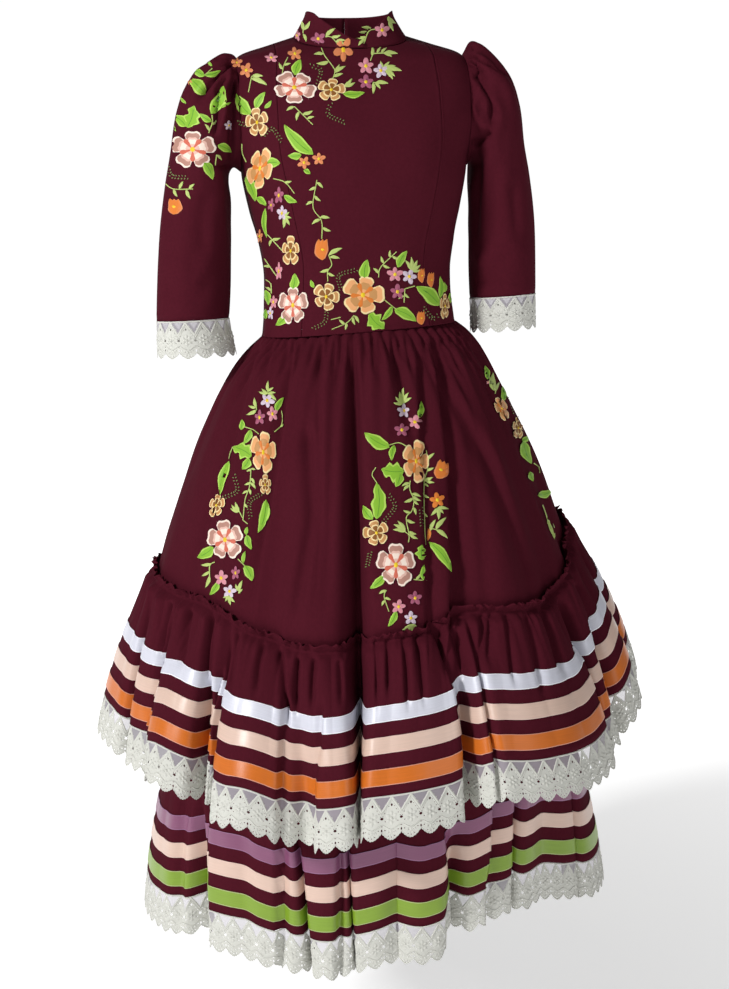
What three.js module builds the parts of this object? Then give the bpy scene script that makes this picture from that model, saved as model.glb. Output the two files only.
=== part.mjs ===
// Escaramuza dress, worn form, hollow: bodice, stand collar, puff sleeves and a gathered skirt
// with two ribboned, lace-edged ruffles. Millimetres, +Z up, the front faces -Y and +X is the
// wearer's left. The origin is the middle of the neck base, between the shoulders.
import * as THREE from "three";

// ---- driving sizes -------------------------------------------------------------------------
const CLOTH = 1.4; // wall of the dress cloth
const TRIM = 1.0; // wall of ribbon and lace
const SEAM = 0.3; // space between two sewn pieces
const BODY_POWER = 2.4; // squareness of the torso sections
const MITRE_LEAST = 0.55; // a turn sharper than this cosine isn't thickened further
const WAIST_SEAM = -357; // level of the waist seam
const SEAM_TILT = 6; // how much higher the waist seam is on the wearer's left
const TILT_WITHIN = { above: 117, below: 90 }; // the tilt fades out this far from the seam
const ARMHOLE_X = 145; // plane of the armholes
const ARMHOLE_DROP = 151; // length of the armhole edge, in bodice drops
const NECK_LEVEL = 13; // level of the neck edge
const WAIST_GATHERS = 56; // gathers round the waist seam
const GATHER_DEPTH = 3.2; // how far a waist gather stands out
const GATHER_FADE = { from: -362, over: 75 }; // level where the gathers start to fade, and how far
const FOLD_GROW = { from: -375, over: 300 }; // the skirt's folds grow over these levels
const FOLD_EASE = { from: -725, over: 140 }; // and ease again under the upper ruffle
const RUFFLE_CLOTH = 178; // cloth length of a ruffle below its seam
const HEADING = 11; // frill that stands above the upper ruffle's seam
const HEADING_WAVE = 2.6; // half depth of its waves
const HEADING_LEAN = 4.6; // how far its edge stands out from the seat
const LACE_UPPER = 50; // depth of the lace on the upper ruffle
const LACE_LOWER = 48; // and on the lower one
const CUFF_LACE = 46; // depth of the lace at the cuffs
const UPPER_RADIUS = { side: 345, front: 349 }; // mean hem radii of the upper ruffle
const LOWER_RADIUS = { side: 312, front: 254 }; // mean hem radii of the lower ruffle

// Torso sections: level, half width, depth to the front and back, and how much the section
// drops at the centre front and centre back.
const TORSO = [
  { level: 13, half: 71, front: 60, back: 57, dip: -23, rise: 3 },
  { level: 3, half: 104, front: 66, back: 62, dip: -20, rise: 0 },
  { level: -8, half: 139, front: 72, back: 67, dip: -18, rise: -2 },
  { level: -12, half: 145, front: 74, back: 69, dip: -18, rise: -2 },
  { level: -22, half: 152, front: 79, back: 73, dip: -16, rise: -2 },
  { level: -50, half: 160, front: 90, back: 82, dip: -10, rise: 0 },
  { level: -85, half: 160, front: 100, back: 90, dip: -4, rise: 0 },
  { level: -115, half: 153, front: 107, back: 92, dip: 0, rise: 0 },
  { level: -140, half: 146, front: 110, back: 92, dip: 0, rise: 0 },
  { level: -160, half: 144, front: 110, back: 90, dip: 0, rise: 0 },
  { level: -200, half: 137, front: 104, back: 86, dip: 0, rise: 0 },
  { level: -240, half: 127, front: 96, back: 82, dip: 0, rise: 0 },
  { level: -285, half: 121, front: 90, back: 80, dip: 0, rise: 0 },
  { level: -320, half: 122.5, front: 91, back: 84, dip: 0, rise: 0 },
  { level: -357, half: 126, front: 95, back: 90, dip: 0, rise: 0 },
];
// Distance of the princess seams from the middle, by level.
const PRINCESS = [
  { level: 13, x: 97 },
  { level: -20, x: 99 },
  { level: -60, x: 101 },
  { level: -115, x: 101 },
  { level: -200, x: 88 },
  { level: -275, x: 76 },
  { level: -357, x: 82 },
];
// Drops of the bodice rows below the neck or shoulder edge.
const BODICE_ROWS = [0, 2.5, 8, 20, 42, 72, 105, 132, 151, 205, 250, 298, 335, 370];

// Collar: height of the top edge round from the centre back (180) to the centre front (0).
const COLLAR_TOP = [
  { at: 180, z: 44 },
  { at: 90, z: 43 },
  { at: 62, z: 38 },
  { at: 45, z: 29 },
  { at: 20, z: 15 },
  { at: 0, z: 1 },
  { at: -20, z: -9 },
];
const COLLAR_HEIGHT = 34; // height over which the collar leans in to its top radius
const COLLAR_LEAST = 6; // its least height, at the front points
const COLLAR_TOP_RADIUS = { side: 54, front: 51, back: 50 };

// Sleeve sections: the outer and the inner point and the half depth, front to back.
const SLEEVE = [
  { outerX: 158, outerZ: 2, innerX: 153, innerZ: -146, depth: 56, puff: 1 },
  { outerX: 179, outerZ: -9, innerX: 155, innerZ: -152, depth: 60, puff: 0.75 },
  { outerX: 205, outerZ: -38, innerX: 154, innerZ: -162, depth: 60, puff: 0.35 },
  { outerX: 218, outerZ: -76, innerX: 152, innerZ: -182, depth: 57, puff: 0.1 },
  { outerX: 224, outerZ: -122, innerX: 152, innerZ: -208, depth: 54, puff: 0 },
  { outerX: 231, outerZ: -165, innerX: 151, innerZ: -232, depth: 52, puff: 0 },
  { outerX: 237, outerZ: -228, innerX: 151, innerZ: -268, depth: 50, puff: 0 },
  { outerX: 238.5, outerZ: -318, innerX: 152, innerZ: -322, depth: 47, puff: 0 },
];
// How each sleeve hangs: its swing from the body in degrees, its length against the table's,
// how much its outer side hangs lower, how far its puff slumps, how much wider it is on the
// inner side and narrower on the outer side at the cuff, and the flare of its lace.
const SLEEVE_POSE = {
  left: { side: 1, swing: 0, stretch: 1, tilt: 0, slump: 0, wide: 0, trim: 0, flare: 0 },
  right: {
    side: -1,
    swing: 4.6,
    stretch: 1.05,
    tilt: -13,
    slump: -11,
    wide: 8,
    trim: 2,
    flare: 12,
  },
};
const SLEEVE_TOP = -12; // level that the sleeves hang and swing from
const PUFF_PLEAT = 3.2; // half depth of the pleats at the sleeve head
const SLEEVE_COLUMNS = 28;

// Skirt sections: half width, and how much less it is to the front and back.
const SKIRT = [
  { level: -357, half: 126, less: 31, lessBack: 36 },
  { level: -370, half: 142, less: 29, lessBack: 34 },
  { level: -392, half: 162, less: 27, lessBack: 31 },
  { level: -435, half: 188, less: 23, lessBack: 26 },
  { level: -470, half: 206, less: 20, lessBack: 22 },
  { level: -500, half: 220, less: 18, lessBack: 19 },
  { level: -540, half: 236, less: 16, lessBack: 16 },
  { level: -585, half: 252, less: 14, lessBack: 14 },
  { level: -640, half: 271, less: 12, lessBack: 12 },
  { level: -680, half: 283, less: 11, lessBack: 11 },
  { level: -725, half: 286, less: 12, lessBack: 11 },
  { level: -800, half: 280, less: 14, lessBack: 12 },
  { level: -915, half: 272, less: 16, lessBack: 12 },
];
// Folds of the skirt: where, half width in degrees, and depth at the upper ruffle's seam.
const SKIRT_FOLDS = [
  { at: -74, wide: 6, deep: 6 },
  { at: -54, wide: 5, deep: -9 },
  { at: -31, wide: 4.5, deep: -9 },
  { at: -20, wide: 5, deep: 4 },
  { at: -9, wide: 3.4, deep: -19 },
  { at: 2, wide: 5, deep: 5 },
  { at: 20, wide: 4.5, deep: -8 },
  { at: 33, wide: 6, deep: 4 },
  { at: 48, wide: 5, deep: -9 },
  { at: 68, wide: 5, deep: -8 },
  { at: 96, wide: 6, deep: -8 },
  { at: 118, wide: 6, deep: -9 },
  { at: 141, wide: 5, deep: -10 },
  { at: 166, wide: 6, deep: -8 },
  { at: 189, wide: 5, deep: -10 },
  { at: 212, wide: 6, deep: -9 },
  { at: 236, wide: 6, deep: -8 },
  { at: 257, wide: 5, deep: -8 },
];
// Seam line of the upper ruffle.
const RUFFLE_SEAM = [
  { at: -80, z: -665 },
  { at: -60, z: -675 },
  { at: -45, z: -682 },
  { at: -35, z: -704 },
  { at: -20, z: -717 },
  { at: -10, z: -716 },
  { at: 0, z: -703 },
  { at: 10, z: -697 },
  { at: 16, z: -685 },
  { at: 30, z: -690 },
  { at: 45, z: -692 },
  { at: 60, z: -668 },
  { at: 75, z: -637 },
  { at: 90, z: -619 },
  { at: 120, z: -640 },
  { at: 150, z: -664 },
  { at: 180, z: -672 },
  { at: 210, z: -672 },
  { at: 240, z: -668 },
];
// Seam line of the lower ruffle.
const LOWER_SEAM = [
  { at: -85, z: -912 },
  { at: -49, z: -893 },
  { at: -31, z: -909 },
  { at: -15, z: -908 },
  { at: -3, z: -896 },
  { at: 8, z: -899 },
  { at: 21, z: -882 },
  { at: 31, z: -867 },
  { at: 44, z: -869 },
  { at: 57, z: -886 },
  { at: 75, z: -904 },
  { at: 120, z: -905 },
  { at: 180, z: -905 },
  { at: 235, z: -908 },
];
const RECESS_LIFT = 0.35; // how much higher the cloth hangs in a recess, for each mm it goes in
// Folds of the ruffles at the hem: the angles a fold runs from and to, how far it stands out
// at its middle, how far the recess after it goes in, and its columns.
const UPPER_FOLDS = [
  { from: -95, to: -70.5, out: 14, dip: -24, columns: 5 },
  { from: -68, to: -60, out: 2, dip: -28, columns: 3 },
  { from: -57, to: -45, out: 19, dip: -20, columns: 4 },
  { from: -43.4, to: -41.2, out: -4, dip: -20, columns: 1 },
  { from: -38.4, to: -24.5, out: 20, dip: -14, columns: 4 },
  { from: -17.5, to: -10.5, out: 13, dip: -55, columns: 3 },
  { from: -8.5, to: 10, out: 15, dip: -22, columns: 5 },
  { from: 15.5, to: 49, out: 20, dip: -22, columns: 6 },
  { from: 51.5, to: 57, out: 5, dip: -24, columns: 2 },
  { from: 58.5, to: 71, out: 12, dip: -20, columns: 3 },
  { from: 74, to: 96, out: 8, dip: -16, columns: 4 },
  { from: 101, to: 117, out: 16, dip: -18, columns: 2 },
  { from: 124, to: 141, out: 14, dip: -20, columns: 2 },
  { from: 147, to: 165, out: 17, dip: -17, columns: 2 },
  { from: 171, to: 187, out: 13, dip: -19, columns: 2 },
  { from: 193, to: 212, out: 17, dip: -20, columns: 2 },
  { from: 218, to: 235, out: 14, dip: -18, columns: 2 },
  { from: 241, to: 258, out: 16, dip: -16, columns: 2 },
];
const LOWER_FOLDS = [
  { from: -92, to: -64, out: 6, dip: -28, columns: 4 },
  { from: -54, to: -27.5, out: 14, dip: -26, columns: 4 },
  { from: -24.5, to: -14.5, out: 13, dip: -20, columns: 3 },
  { from: -12, to: -1.5, out: 11, dip: -8, columns: 2 },
  { from: 0, to: 11, out: 11, dip: -24, columns: 2 },
  { from: 22, to: 34, out: -26, dip: -40, columns: 2 },
  { from: 37, to: 60, out: -17, dip: -27, columns: 3 },
  { from: 62, to: 84, out: 6, dip: -16, columns: 3 },
  { from: 90, to: 112, out: 12, dip: -16, columns: 2 },
  { from: 122, to: 146, out: 12, dip: -18, columns: 2 },
  { from: 156, to: 180, out: 13, dip: -17, columns: 2 },
  { from: 190, to: 215, out: 12, dip: -18, columns: 2 },
  { from: 225, to: 252, out: 12, dip: -16, columns: 3 },
];
// Ribbons, by the cloth distance of their upper edge below a ruffle's seam.
const RIBBON_WIDTH = 19;
const RIBBONS = [{ drop: 76 }, { drop: 112 }, { drop: 148 }];

// ---- small helpers -------------------------------------------------------------------------
const rad = (degrees) => (degrees * Math.PI) / 180;
const mix = (a, b, t) => a + (b - a) * t;
const clamp = (v, lo, hi) => Math.min(hi, Math.max(lo, v));
const soft = (t) => {
  const c = clamp(t, 0, 1);
  return c * c * (3 - 2 * c);
};
// Straight interpolation of a table's column by a key that rises or falls.
function look(table, key, name, at) {
  const down = table[0][key] > table[table.length - 1][key];
  for (let i = 1; i < table.length; i++) {
    const a = table[i - 1];
    const b = table[i];
    const past = down ? at >= b[key] : at <= b[key];
    if (past || i === table.length - 1) {
      const t = clamp((at - a[key]) / (b[key] - a[key]), 0, 1);
      return mix(a[name], b[name], t);
    }
  }
  return table[0][name];
}
// Smooth interpolation of a closed table over 360 degrees.
function lookRound(table, name, degrees) {
  const n = table.length;
  const start = table[0].at;
  const at = ((((degrees - start) % 360) + 360) % 360) + start;
  let i = n - 1;
  while (i > 0 && table[i].at > at) i--;
  const row = (k) => table[(k + n) % n][name];
  const a = table[i].at;
  const b = i === n - 1 ? start + 360 : table[i + 1].at;
  const t = (at - a) / (b - a);
  const [p0, p1, p2, p3] = [row(i - 1), row(i), row(i + 1), row(i + 2)];
  const bend = 0.5 * ((p2 - p0) * t + (2 * p0 - 5 * p1 + 4 * p2 - p3) * t * t);
  return p1 + bend + 0.5 * (3 * p1 - p0 - 3 * p2 + p3) * t * t * t;
}

// A wall through rows of outer and inner points. Rows may differ in their number of columns,
// and a row's `u` says how far along each column is. A closed row runs all the way round.
function wall(name, rows, closed, material) {
  const position = [];
  const index = [];
  const put = (p) => position.push(p.x, p.y, p.z) / 3 - 1;
  const ids = rows.map((r) => ({
    u: r.u,
    outer: r.outer.map(put),
    inner: r.inner.map(put),
  }));
  const band = (a, b, ua, ub, flip) => {
    const na = closed ? a.length : a.length - 1;
    const nb = closed ? b.length : b.length - 1;
    const at = (u, k) => (k < u.length ? u[k] : u[k - u.length] + 1);
    let i = 0;
    let j = 0;
    while (i < na || j < nb) {
      const takeA = j >= nb || (i < na && at(ua, i + 1) <= at(ub, j + 1) + 1e-9);
      const p = a[i % a.length];
      const q = b[j % b.length];
      const s = takeA ? a[(i + 1) % a.length] : b[(j + 1) % b.length];
      if (flip) index.push(p, s, q);
      else index.push(p, q, s);
      if (takeA) i++;
      else j++;
    }
  };
  for (let r = 1; r < rows.length; r++) {
    const a = ids[r - 1];
    const b = ids[r];
    band(a.outer, b.outer, a.u, b.u, false);
    band(a.inner, b.inner, a.u, b.u, true);
  }
  const first = ids[0];
  const last = ids[ids.length - 1];
  band(first.inner, first.outer, first.u, first.u, false);
  band(last.outer, last.inner, last.u, last.u, false);
  if (!closed) {
    for (let r = 1; r < rows.length; r++) {
      const a = ids[r - 1];
      const b = ids[r];
      const ea = a.outer.length - 1;
      const eb = b.outer.length - 1;
      index.push(a.inner[0], b.inner[0], a.outer[0], a.outer[0], b.inner[0], b.outer[0]);
      index.push(a.outer[ea], b.outer[eb], a.inner[ea]);
      index.push(a.inner[ea], b.outer[eb], b.inner[eb]);
    }
  }
  let volume = 0;
  const point = (k) => new THREE.Vector3().fromArray(position, 3 * k);
  for (let i = 0; i < index.length; i += 3) {
    const a = point(index[i]);
    volume += a.dot(point(index[i + 1]).cross(point(index[i + 2])));
  }
  if (volume < 0) index.reverse();
  const geometry = new THREE.BufferGeometry();
  geometry.setAttribute("position", new THREE.Float32BufferAttribute(position, 3));
  geometry.setIndex(index);
  geometry.computeVertexNormals();
  const mesh = new THREE.Mesh(geometry, material);
  mesh.name = name;
  return mesh;
}
// Outer and inner points of a row. `at(u, v)` gives a point of the cloth's middle surface.
// `step` holds the small moves in u and v that its normal is measured with, `range` their ends,
// `push` moves the wall out, `level` keeps a rim level, and `limit` trims a point at a seam.
// In a closed row the wall keeps its thickness where the columns turn sharply.
function row(at, us, v, spec) {
  const { thick = CLOTH, push = 0, turn = 1, step, range = {}, limit, level, round } = spec;
  const { uMin = -1e9, uMax = 1e9, vMin = -1e9, vMax = 1e9 } = range;
  const outer = [];
  const inner = [];
  for (const u of us) {
    const u0 = Math.max(uMin, u - step.u);
    const u1 = Math.min(uMax, u + step.u);
    const v0 = Math.max(vMin, v - step.v);
    const v1 = Math.min(vMax, v + step.v);
    const along = at(u1, v).sub(at(u0, v));
    const down = at(u, v1).sub(at(u, v0));
    const normal = along.cross(down).normalize().multiplyScalar(turn);
    const middle = at(u, v);
    let sharp = 1;
    if (round) {
      const i = us.indexOf(u);
      const next = at(i + 1 < us.length ? us[i + 1] : us[0] + round, v);
      const face = next.sub(middle).cross(down).normalize();
      sharp = 1 / Math.max(MITRE_LEAST, Math.abs(face.dot(normal)));
    }
    for (const [list, share] of [[outer, 0.5], [inner, -0.5]]) {
      const p = middle.clone().addScaledVector(normal, (push + share * thick) * sharp);
      if (level) p.z = middle.z;
      if (limit) limit(p, u, v);
      list.push(p);
    }
  }
  return { u: us, outer, inner };
}
const paint = (colour, roughness) =>
  new THREE.MeshStandardMaterial({ color: colour, roughness, side: THREE.FrontSide });
const WINE = paint(0x3c0f22, 0.62);
const LACE = paint(0xf2f1ee, 0.8);
const RIBBON_PAINT = {
  white: paint(0xe9eaf4, 0.35),
  beige: paint(0xe2c2a6, 0.35),
  orange: paint(0xd9702a, 0.35),
  purple: paint(0x7c4468, 0.35),
  green: paint(0x86a01e, 0.35),
};

const dress = new THREE.Group();
dress.name = "escaramuza_dress";
const add = (name, rows, closed, material) => dress.add(wall(name, rows, closed, material));

const WAIST_HALF = TORSO[TORSO.length - 1].half;

// ---- bodice --------------------------------------------------------------------------------
// A point of the torso at a level and a distance from the middle; front is 1, or -1 for the back.
function torso(level, x, front) {
  const half = look(TORSO, "level", "half", level);
  const depth = look(TORSO, "level", front > 0 ? "front" : "back", level);
  const drop = look(TORSO, "level", front > 0 ? "dip" : "rise", level);
  const round = Math.pow(clamp(Math.abs(x) / half, 0, 1), BODY_POWER);
  const share = Math.pow(1 - round, 1 / BODY_POWER);
  const near = soft(1 + (WAIST_SEAM - level) / TILT_WITHIN.above);
  const tilt = (SEAM_TILT * near * x) / WAIST_HALF;
  return new THREE.Vector3(x, -front * depth * share, level + drop * share + tilt);
}
// Level of the shoulder edge at a distance from the middle; inside the neck it is the neck edge.
const SHOULDER = TORSO.slice(0, 4);
const shoulderLevel = (x) =>
  x <= SHOULDER[0].half ? NECK_LEVEL : look(SHOULDER, "half", "level", x);
const princess = (level) => look(PRINCESS, "level", "x", level);
const outerEdge = (level) =>
  level > -100 ? ARMHOLE_X : Math.min(ARMHOLE_X, look(TORSO, "level", "half", level));
const bodiceDrop = BODICE_ROWS[BODICE_ROWS.length - 1];
// Middle surface of a bodice panel: u is a column's distance from the middle at its top edge.
const bodiceAt = (front, side, panel) => (u, drop) => {
  const away = Math.abs(u);
  const top = shoulderLevel(away);
  const level = top - (drop * (top - WAIST_SEAM - SEAM / 2)) / bodiceDrop;
  const inner = PRINCESS[0].x;
  let x = (away / inner) * princess(level);
  if (panel === "side") {
    x = mix(princess(level), outerEdge(level), (away - inner) / (ARMHOLE_X - inner));
  }
  if (panel === "back") x = (away / ARMHOLE_X) * outerEdge(level);
  x = Math.min(x, look(TORSO, "level", "half", level));
  return torso(level, side * Math.sign(u) * x, front);
};
const PANELS = [
  {
    name: "bodice_front_centre",
    front: 1,
    side: 1,
    panel: "centre",
    columns: [-97, -84, -71, -67, -60, -48, -32, -16, 0, 16, 32, 48, 60, 67, 71, 84, 97],
  },
  ...[1, -1].map((side) => ({
    name: side > 0 ? "bodice_side_front_left" : "bodice_side_front_right",
    front: 1,
    side,
    panel: "side",
    columns: [97, 116, 130, 138.5, 143, 145],
  })),
  ...[1, -1].map((side) => ({
    name: side > 0 ? "bodice_back_left" : "bodice_back_right",
    front: -1,
    side,
    panel: "back",
    columns: [0.01, 30, 54, 66, 71, 97, 119, 134, 142, 145],
  })),
];
for (const { name, front, side, panel, columns } of PANELS) {
  const at = bodiceAt(front, side, panel);
  const first = columns[0];
  const last = columns[columns.length - 1];
  const spec = {
    step: { u: 0.25, v: 0.3 },
    range: { uMin: first, uMax: last, vMin: 0, vMax: bodiceDrop },
    turn: front * side,
    limit: (p, u) => {
      const seamX = side * (SEAM / 2);
      if (panel === "centre" && Math.abs(u) === last) p.x -= Math.sign(u) * (SEAM / 2);
      if (panel === "side" && u === first) p.x += seamX;
      if (panel === "back" && u === first) p.x = seamX;
      if (Math.abs(u) === ARMHOLE_X) p.x = side * Math.min(Math.abs(p.x), ARMHOLE_X);
      p.y = front > 0 ? Math.min(p.y, -SEAM / 2) : Math.max(p.y, SEAM / 2);
    },
  };
  const rows = BODICE_ROWS.map((drop) => {
    const line = row(at, columns, drop, { ...spec, level: drop === bodiceDrop });
    line.u = columns.map((u) => (u - first) / (last - first));
    return line;
  });
  add(name, rows, false, WINE);
}

// ---- collar --------------------------------------------------------------------------------
// Its columns stand on those of the neck edge, by their distance from the middle.
const COLLAR_BACK = [0, 30, 54, 66];
const COLLAR_FRONT = [71, 67, 60, 48, 32, 16];
const COLLAR_LAP = { under: 5, over: 11 }; // where the two halves end, past each other
const LAP_FROM = 20; // angle where the right half starts to stand out over the left
const LAP_OVER = 8; // and the degrees that it takes
const neckAngle = (x) => {
  const share = Math.pow(Math.abs(x) / TORSO[0].half, BODY_POWER / 2);
  return (Math.sign(x) * Math.asin(Math.min(1, share)) * 180) / Math.PI;
};
function collarAt(side) {
  return (angle, t) => {
    const s = Math.sin(rad(angle));
    const c = Math.cos(rad(angle));
    const power = 2 / BODY_POWER;
    const shareX = Math.sign(s) * Math.pow(Math.abs(s), power);
    const shareY = Math.sign(c) * Math.pow(Math.abs(c), power);
    const base = TORSO[0];
    const fall = c > 0 ? base.dip : base.rise;
    const low = NECK_LEVEL + fall * Math.abs(shareY) + 1.5 * SEAM + CLOTH / 2;
    const high = Math.max(look(COLLAR_TOP, "at", "z", angle), low + COLLAR_LEAST);
    const z = mix(low, high, t);
    const lean = 1 - Math.pow(1 - clamp((z - low) / COLLAR_HEIGHT, 0, 1), 1.5);
    const half = mix(base.half, COLLAR_TOP_RADIUS.side, lean);
    const depth = mix(
      c > 0 ? base.front : base.back,
      c > 0 ? COLLAR_TOP_RADIUS.front : COLLAR_TOP_RADIUS.back,
      lean,
    );
    const out = side < 0 ? (CLOTH + 3 * SEAM) * soft((LAP_FROM - angle) / LAP_OVER) : 0;
    const x = side * (half * shareX);
    const p = new THREE.Vector3(x, -depth * shareY, z);
    return p.add(new THREE.Vector3(side * s * out, -c * out, 0));
  };
}
for (const side of [1, -1]) {
  const angles = [
    ...COLLAR_BACK.map((x) => 180 - neckAngle(x)),
    ...COLLAR_FRONT.map((x) => neckAngle(x)),
    neckAngle(5),
  ];
  if (side < 0) angles.push(-neckAngle(COLLAR_LAP.under), -neckAngle(COLLAR_LAP.over));
  const rows = [1, 0.45, 0].map((t) => {
    const line = row(collarAt(side), angles, t, {
      step: { u: 0.5, v: 0.01 },
      range: { uMax: 180, vMin: 0, vMax: 1 },
      turn: side,
      limit: (p, angle) => {
        if (angle > 179.9) p.x = (side * SEAM) / 2;
      },
    });
    line.u = angles.map((_, i) => i / angles.length);
    return line;
  });
  add(side > 0 ? "collar_left" : "collar_right", rows, false, WINE);
}

// ---- sleeves -------------------------------------------------------------------------------
// Half of the armhole edge as a chain from the shoulder down to the underarm.
function armholeChain(front) {
  const at = bodiceAt(front, 1, front > 0 ? "side" : "back");
  const chain = BODICE_ROWS.filter((d) => d <= ARMHOLE_DROP).map((d) => at(ARMHOLE_X, d));
  const length = [0];
  for (let i = 1; i < chain.length; i++) {
    length.push(length[i - 1] + chain[i].distanceTo(chain[i - 1]));
  }
  return (t) => {
    const want = clamp(t, 0, 1) * length[length.length - 1];
    let i = 1;
    while (i < chain.length - 1 && length[i] < want) i++;
    return chain[i - 1]
      .clone()
      .lerp(chain[i], (want - length[i - 1]) / (length[i] - length[i - 1]));
  };
}
const ARMHOLE = { front: armholeChain(1), back: armholeChain(-1) };
// Middle surface of a sleeve: q runs round from the top over the front, r down its sections.
function sleeveAt({ side, swing, stretch, tilt, slump, wide, trim, flare }) {
  return (q, r) => {
    const turn = ((q % 1) + 1) % 1;
    const c = Math.cos(2 * Math.PI * turn);
    const s = Math.sin(2 * Math.PI * turn);
    const section = (k) => {
      if (k === 0) {
        const p = turn <= 0.5 ? ARMHOLE.front(2 * turn) : ARMHOLE.back(2 - 2 * turn);
        return new THREE.Vector3(ARMHOLE_X + SEAM, p.y, p.z);
      }
      const w = SLEEVE[k - 1];
      const half = { x: (w.outerX - w.innerX) / 2, z: (w.outerZ - w.innerZ) / 2 };
      const span = Math.hypot(half.x, half.z);
      const out = PUFF_PLEAT * w.puff * soft((c + 0.3) / 0.8);
      const grow = 1 + (out * Math.cos(SLEEVE_COLUMNS * Math.PI * turn)) / span;
      return new THREE.Vector3(
        w.innerX + half.x + half.x * c * grow,
        -w.depth * s * grow,
        w.innerZ + half.z + half.z * c * grow,
      );
    };
    const last = SLEEVE.length;
    const k = clamp(Math.floor(r), 0, last - 1);
    const p = section(k).lerp(section(k + 1), Math.min(r, last) - k);
    const past = Math.max(0, r - last); // millimetres of lace below the cuff seam
    const lace = past / CUFF_LACE;
    const outerShare = 0.5 + 0.5 * c;
    const innerShare = 0.5 - 0.5 * c;
    const low = soft(r / last);
    p.x -= (wide * low + flare * lace) * innerShare + trim * (low + lace) * outerShare;
    p.y -= lace * 2 * s;
    p.z += slump * soft(r) * (1 - soft((r - 1) / 3)) * outerShare - past;
    p.z = SLEEVE_TOP + (p.z - SLEEVE_TOP) * mix(1, stretch, low) + tilt * low * outerShare;
    const angle = rad(swing) * soft(r / 3.5);
    const dx = p.x - ARMHOLE_X;
    const dz = p.z - SLEEVE_TOP;
    const x = ARMHOLE_X + dx * Math.cos(angle) - dz * Math.sin(angle);
    const z = SLEEVE_TOP + dz * Math.cos(angle) + dx * Math.sin(angle);
    return new THREE.Vector3(side * x, p.y, z);
  };
}
const sleeveUs = Array.from({ length: SLEEVE_COLUMNS }, (_, i) => i / SLEEVE_COLUMNS);
for (const [name, pose] of Object.entries(SLEEVE_POSE)) {
  const at = sleeveAt(pose);
  const clear = (p) => {
    p.x = pose.side * Math.max(Math.abs(p.x), ARMHOLE_X + SEAM);
  };
  const spec = { step: { u: 0.002, v: 0.02 }, range: { vMin: 0 }, turn: -pose.side, limit: clear };
  const last = SLEEVE.length;
  const rows = [];
  for (let r = 0; r <= last; r++) {
    const range = { vMin: r === 0 ? 0 : r - 0.02, vMax: r === last ? last : 1e9 };
    rows.push(row(at, sleeveUs, r, { ...spec, range }));
  }
  add("sleeve_" + name, rows, true, WINE);
  const lace = [SEAM, CUFF_LACE].map((d) =>
    row(at, sleeveUs, last + d, { ...spec, thick: TRIM, range: { vMin: last + SEAM } }),
  );
  add("cuff_lace_" + name, lace, true, LACE);
}

// ---- ruffle columns ------------------------------------------------------------------------
// The hem path of a ruffle, a column for each point of its folds: angle and how far it is out.
function hemPath(folds) {
  const path = [];
  folds.forEach((fold, i) => {
    for (let k = 0; k < fold.columns; k++) {
      const t = fold.columns > 1 ? k / (fold.columns - 1) : 0.5;
      const swell = fold.columns > 1 ? 0.35 + 0.65 * Math.sin(Math.PI * t) : 1;
      path.push({ at: mix(fold.from, fold.to, t), out: fold.out * swell });
    }
    const next = i + 1 < folds.length ? folds[i + 1].from : folds[0].from + 360;
    path.push({ at: (fold.to + next) / 2, out: fold.dip });
  });
  return path;
}
// Cloth is shared out evenly along the seam, so a column's angle there leans to its share.
function seamAngles(path, radius) {
  const n = path.length;
  const along = [0];
  for (let i = 1; i <= n; i++) {
    const a = path[i - 1];
    const b = path[i % n];
    const turn = b.at - a.at + (i === n ? 360 : 0);
    along.push(along[i - 1] + Math.hypot(rad(turn) * radius, b.out - a.out));
  }
  const share = path.map((p, i) => path[0].at + (360 * along[i]) / along[n]);
  const drift = share.reduce((sum, a, i) => sum + a - path[i].at, 0) / n;
  const angles = share.map((a, i) => mix(path[i].at, a - drift, 0.4));
  for (let i = 1; i < n; i++) angles[i] = Math.max(angles[i], angles[i - 1] + 0.7);
  return angles;
}
// Smooth reading of a closed list at a real index; `turns` is what it gains per round.
function readList(list, index, turns) {
  const n = list.length;
  const i = Math.floor(index);
  const t = index - i;
  const get = (k) => list[((k % n) + n) % n] + Math.floor(k / n) * turns;
  const [p0, p1, p2, p3] = [get(i - 1), get(i), get(i + 1), get(i + 2)];
  const bend = 0.5 * ((p2 - p0) * t + (2 * p0 - 5 * p1 + 4 * p2 - p3) * t * t);
  return p1 + bend + 0.5 * (3 * p1 - p0 - 3 * p2 + p3) * t * t * t;
}
const upperPath = hemPath(UPPER_FOLDS);
const lowerPath = hemPath(LOWER_FOLDS);
const upperAngles = seamAngles(upperPath, UPPER_RADIUS.side);
const lowerAngles = seamAngles(lowerPath, LOWER_RADIUS.side);
// A column of each stands on both side seams of the skirt.
for (const angles of [upperAngles, lowerAngles]) {
  for (const target of [-90, 90]) {
    const off = (a) => Math.abs(a - target);
    const best = angles.reduce((b, a, i) => (off(a) < off(angles[b]) ? i : b), 0);
    angles[best] = target;
  }
}

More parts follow.
